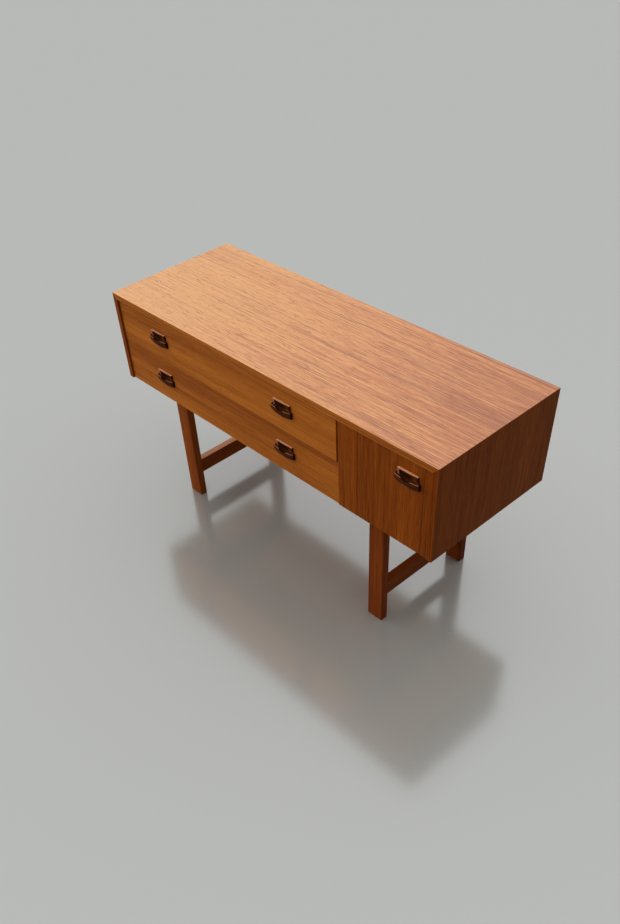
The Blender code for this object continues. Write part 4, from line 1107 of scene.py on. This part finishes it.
class CABINET_OT_stage(bpy.types.Operator):
    """Plain pale floor, soft studio lamps and the camera"""
    bl_idname = "cabinet.stage"
    bl_label = "Stage"

    def execute(self, context):
        stage = context.scene.cabinet_stage
        bpy.ops.object.select_all(action="DESELECT")
        bpy.ops.mesh.primitive_plane_add(size=FLOOR_SIZE)
        floor = context.active_object
        floor.name = "floor"
        # Plain pale floor, ground and polished: it mirrors the pale surround, and the cabinet softly in it
        material, tree = new_material("polished_pale_floor")
        ground = add_node(tree, "BsdfDiffuse", {"Color": opaque(context.scene.cabinet_finish.floor)})
        polish = add_node(tree, "BsdfGlossy", {
            "Roughness": stage.polish_roughness, "Color": opaque(linear("FFFFFF"))})
        shader = add_node(tree, "MixShader", {0: stage.floor_polish, 1: ground, 2: polish})
        add_node(tree, "OutputMaterial", {"Surface": shader})
        give_material(floor, material)

        # Large soft lights far away. The floor has a wide one of its own, which its polish doesn't mirror,
        # so that it keeps an even tone and the cabinet's soft shadow.
        floor_alone = bpy.data.collections.new("floor_alone")
        all_but_floor = bpy.data.collections.new("all_but_floor")
        for group, state in ((floor_alone, "INCLUDE"), (all_but_floor, "EXCLUDE")):
            group.objects.link(floor)
            group.collection_objects[0].light_linking.link_state = state
        lamps = (
            ("main", (-0.42, 0.5, 1), "FFFEFC", all_but_floor),
            ("side", (-1, -0.15, 0.5), "FFFEFC", all_but_floor),
            ("fill", (-0.35, -0.45, 1), "FFF6EC", all_but_floor),
            ("floor", (-0.15, 0.2, 1), "FFFFFF", floor_alone),
        )
        for name, towards, tint, lit in lamps:
            towards = Vector(towards)
            bpy.ops.object.light_add(type="SUN", location=towards * LAMP_DISTANCE)
            lamp = context.active_object
            lamp.name = name + "_light"
            lamp.data.angle = getattr(stage, name + "_spread")
            lamp.data.energy = getattr(stage, name + "_strength")
            lamp.data.color = linear(tint)
            lamp.light_linking.receiver_collection = lit
            lamp.visible_glossy = lit is all_but_floor
            lamp.rotation_euler = towards.to_track_quat("Z", "Y").to_euler()

        world = bpy.data.worlds.new("surround")
        context.scene.world = world
        world.use_nodes = True
        tree = world.node_tree
        tree.nodes.clear()
        # Even weak light on the object; the surround itself shows pale to the camera and in reflections
        rays = add_node(tree, "LightPath").outputs
        seen = add_node(tree, "Math", {
            0: rays["Is Camera Ray"], 1: rays["Is Glossy Ray"]}, operation="MAXIMUM")
        shown = add_node(tree, "Math", {0: seen, 1: rays["Is Transmission Ray"]}, operation="MAXIMUM")
        level = add_node(tree, "MapRange", {
            "Value": shown, "To Min": stage.surround, "To Max": stage.shown_surround})
        air = add_node(tree, "Background", {"Color": opaque(linear("F4F5F6")), "Strength": level})
        add_node(tree, "OutputWorld", {"Surface": air})

        # Camera at the measured angle
        back = Vector((
            math.sin(stage.azimuth) * math.cos(stage.elevation),
            -math.cos(stage.azimuth) * math.cos(stage.elevation),
            math.sin(stage.elevation)))
        right = Vector((0, 0, 1)).cross(back).normalized()
        facing = Matrix((right, back.cross(right), back)).transposed() @ Matrix.Rotation(stage.roll, 3, "Z")
        camera = bpy.data.objects.new("camera", bpy.data.cameras.new("camera"))
        context.scene.collection.objects.link(camera)
        camera.matrix_world = Matrix.Translation(AIM + back * stage.distance) @ facing.to_4x4()
        camera.data.lens = stage.lens
        camera.data.sensor_width = SENSOR_WIDTH
        camera.data.shift_x, camera.data.shift_y = FRAME_SHIFT
        camera.data.clip_end = VIEW_REACH
        context.scene.camera = camera
        context.scene.view_settings.view_transform = "Standard"
        return {"FINISHED"}


OPERATORS = (
    CABINET_OT_case, CABINET_OT_fronts, CABINET_OT_drawer_boxes, CABINET_OT_leg_frames, CABINET_OT_pulls,
    CABINET_OT_screws, CABINET_OT_hinges, CABINET_OT_catch, CABINET_OT_stage,
)


class CABINET_PT_pieces(bpy.types.Panel):
    """Lists the steps that dress the cabinet"""
    bl_label = "Low Teak Cabinet"
    bl_space_type = "VIEW_3D"
    bl_region_type = "UI"
    bl_category = "Cabinet"

    def draw(self, context):
        for operator in OPERATORS:
            self.layout.operator(operator.bl_idname)
        for group in GROUPS:
            settings = getattr(context.scene, group)
            column = self.layout.column()
            for name in settings.__annotations__:
                column.prop(settings, name)


GROUPS = {
    "cabinet_edges": CabinetEdges, "cabinet_pull": CabinetPull, "cabinet_fastenings": CabinetFastenings,
    "cabinet_finish": CabinetFinish, "cabinet_stage": CabinetStage,
}


def register():
    """Register the settings, the operators and the panel"""
    for group, settings in GROUPS.items():
        bpy.utils.register_class(settings)
        setattr(bpy.types.Scene, group, bpy.props.PointerProperty(type=settings))
    for operator in OPERATORS:
        bpy.utils.register_class(operator)
    bpy.utils.register_class(CABINET_PT_pieces)


def unregister():
    """Take back what register did"""
    bpy.utils.unregister_class(CABINET_PT_pieces)
    for operator in reversed(OPERATORS):
        bpy.utils.unregister_class(operator)
    for group, settings in GROUPS.items():
        delattr(bpy.types.Scene, group)
        bpy.utils.unregister_class(settings)


def main():
    """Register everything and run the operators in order"""
    register()
    bpy.ops.cabinet.case()
    bpy.ops.cabinet.fronts()
    bpy.ops.cabinet.drawer_boxes()
    bpy.ops.cabinet.leg_frames()
    bpy.ops.cabinet.pulls()
    bpy.ops.cabinet.screws()
    bpy.ops.cabinet.hinges()
    bpy.ops.cabinet.catch()
    bpy.ops.cabinet.stage()


if __name__ == "__main__":
    main()
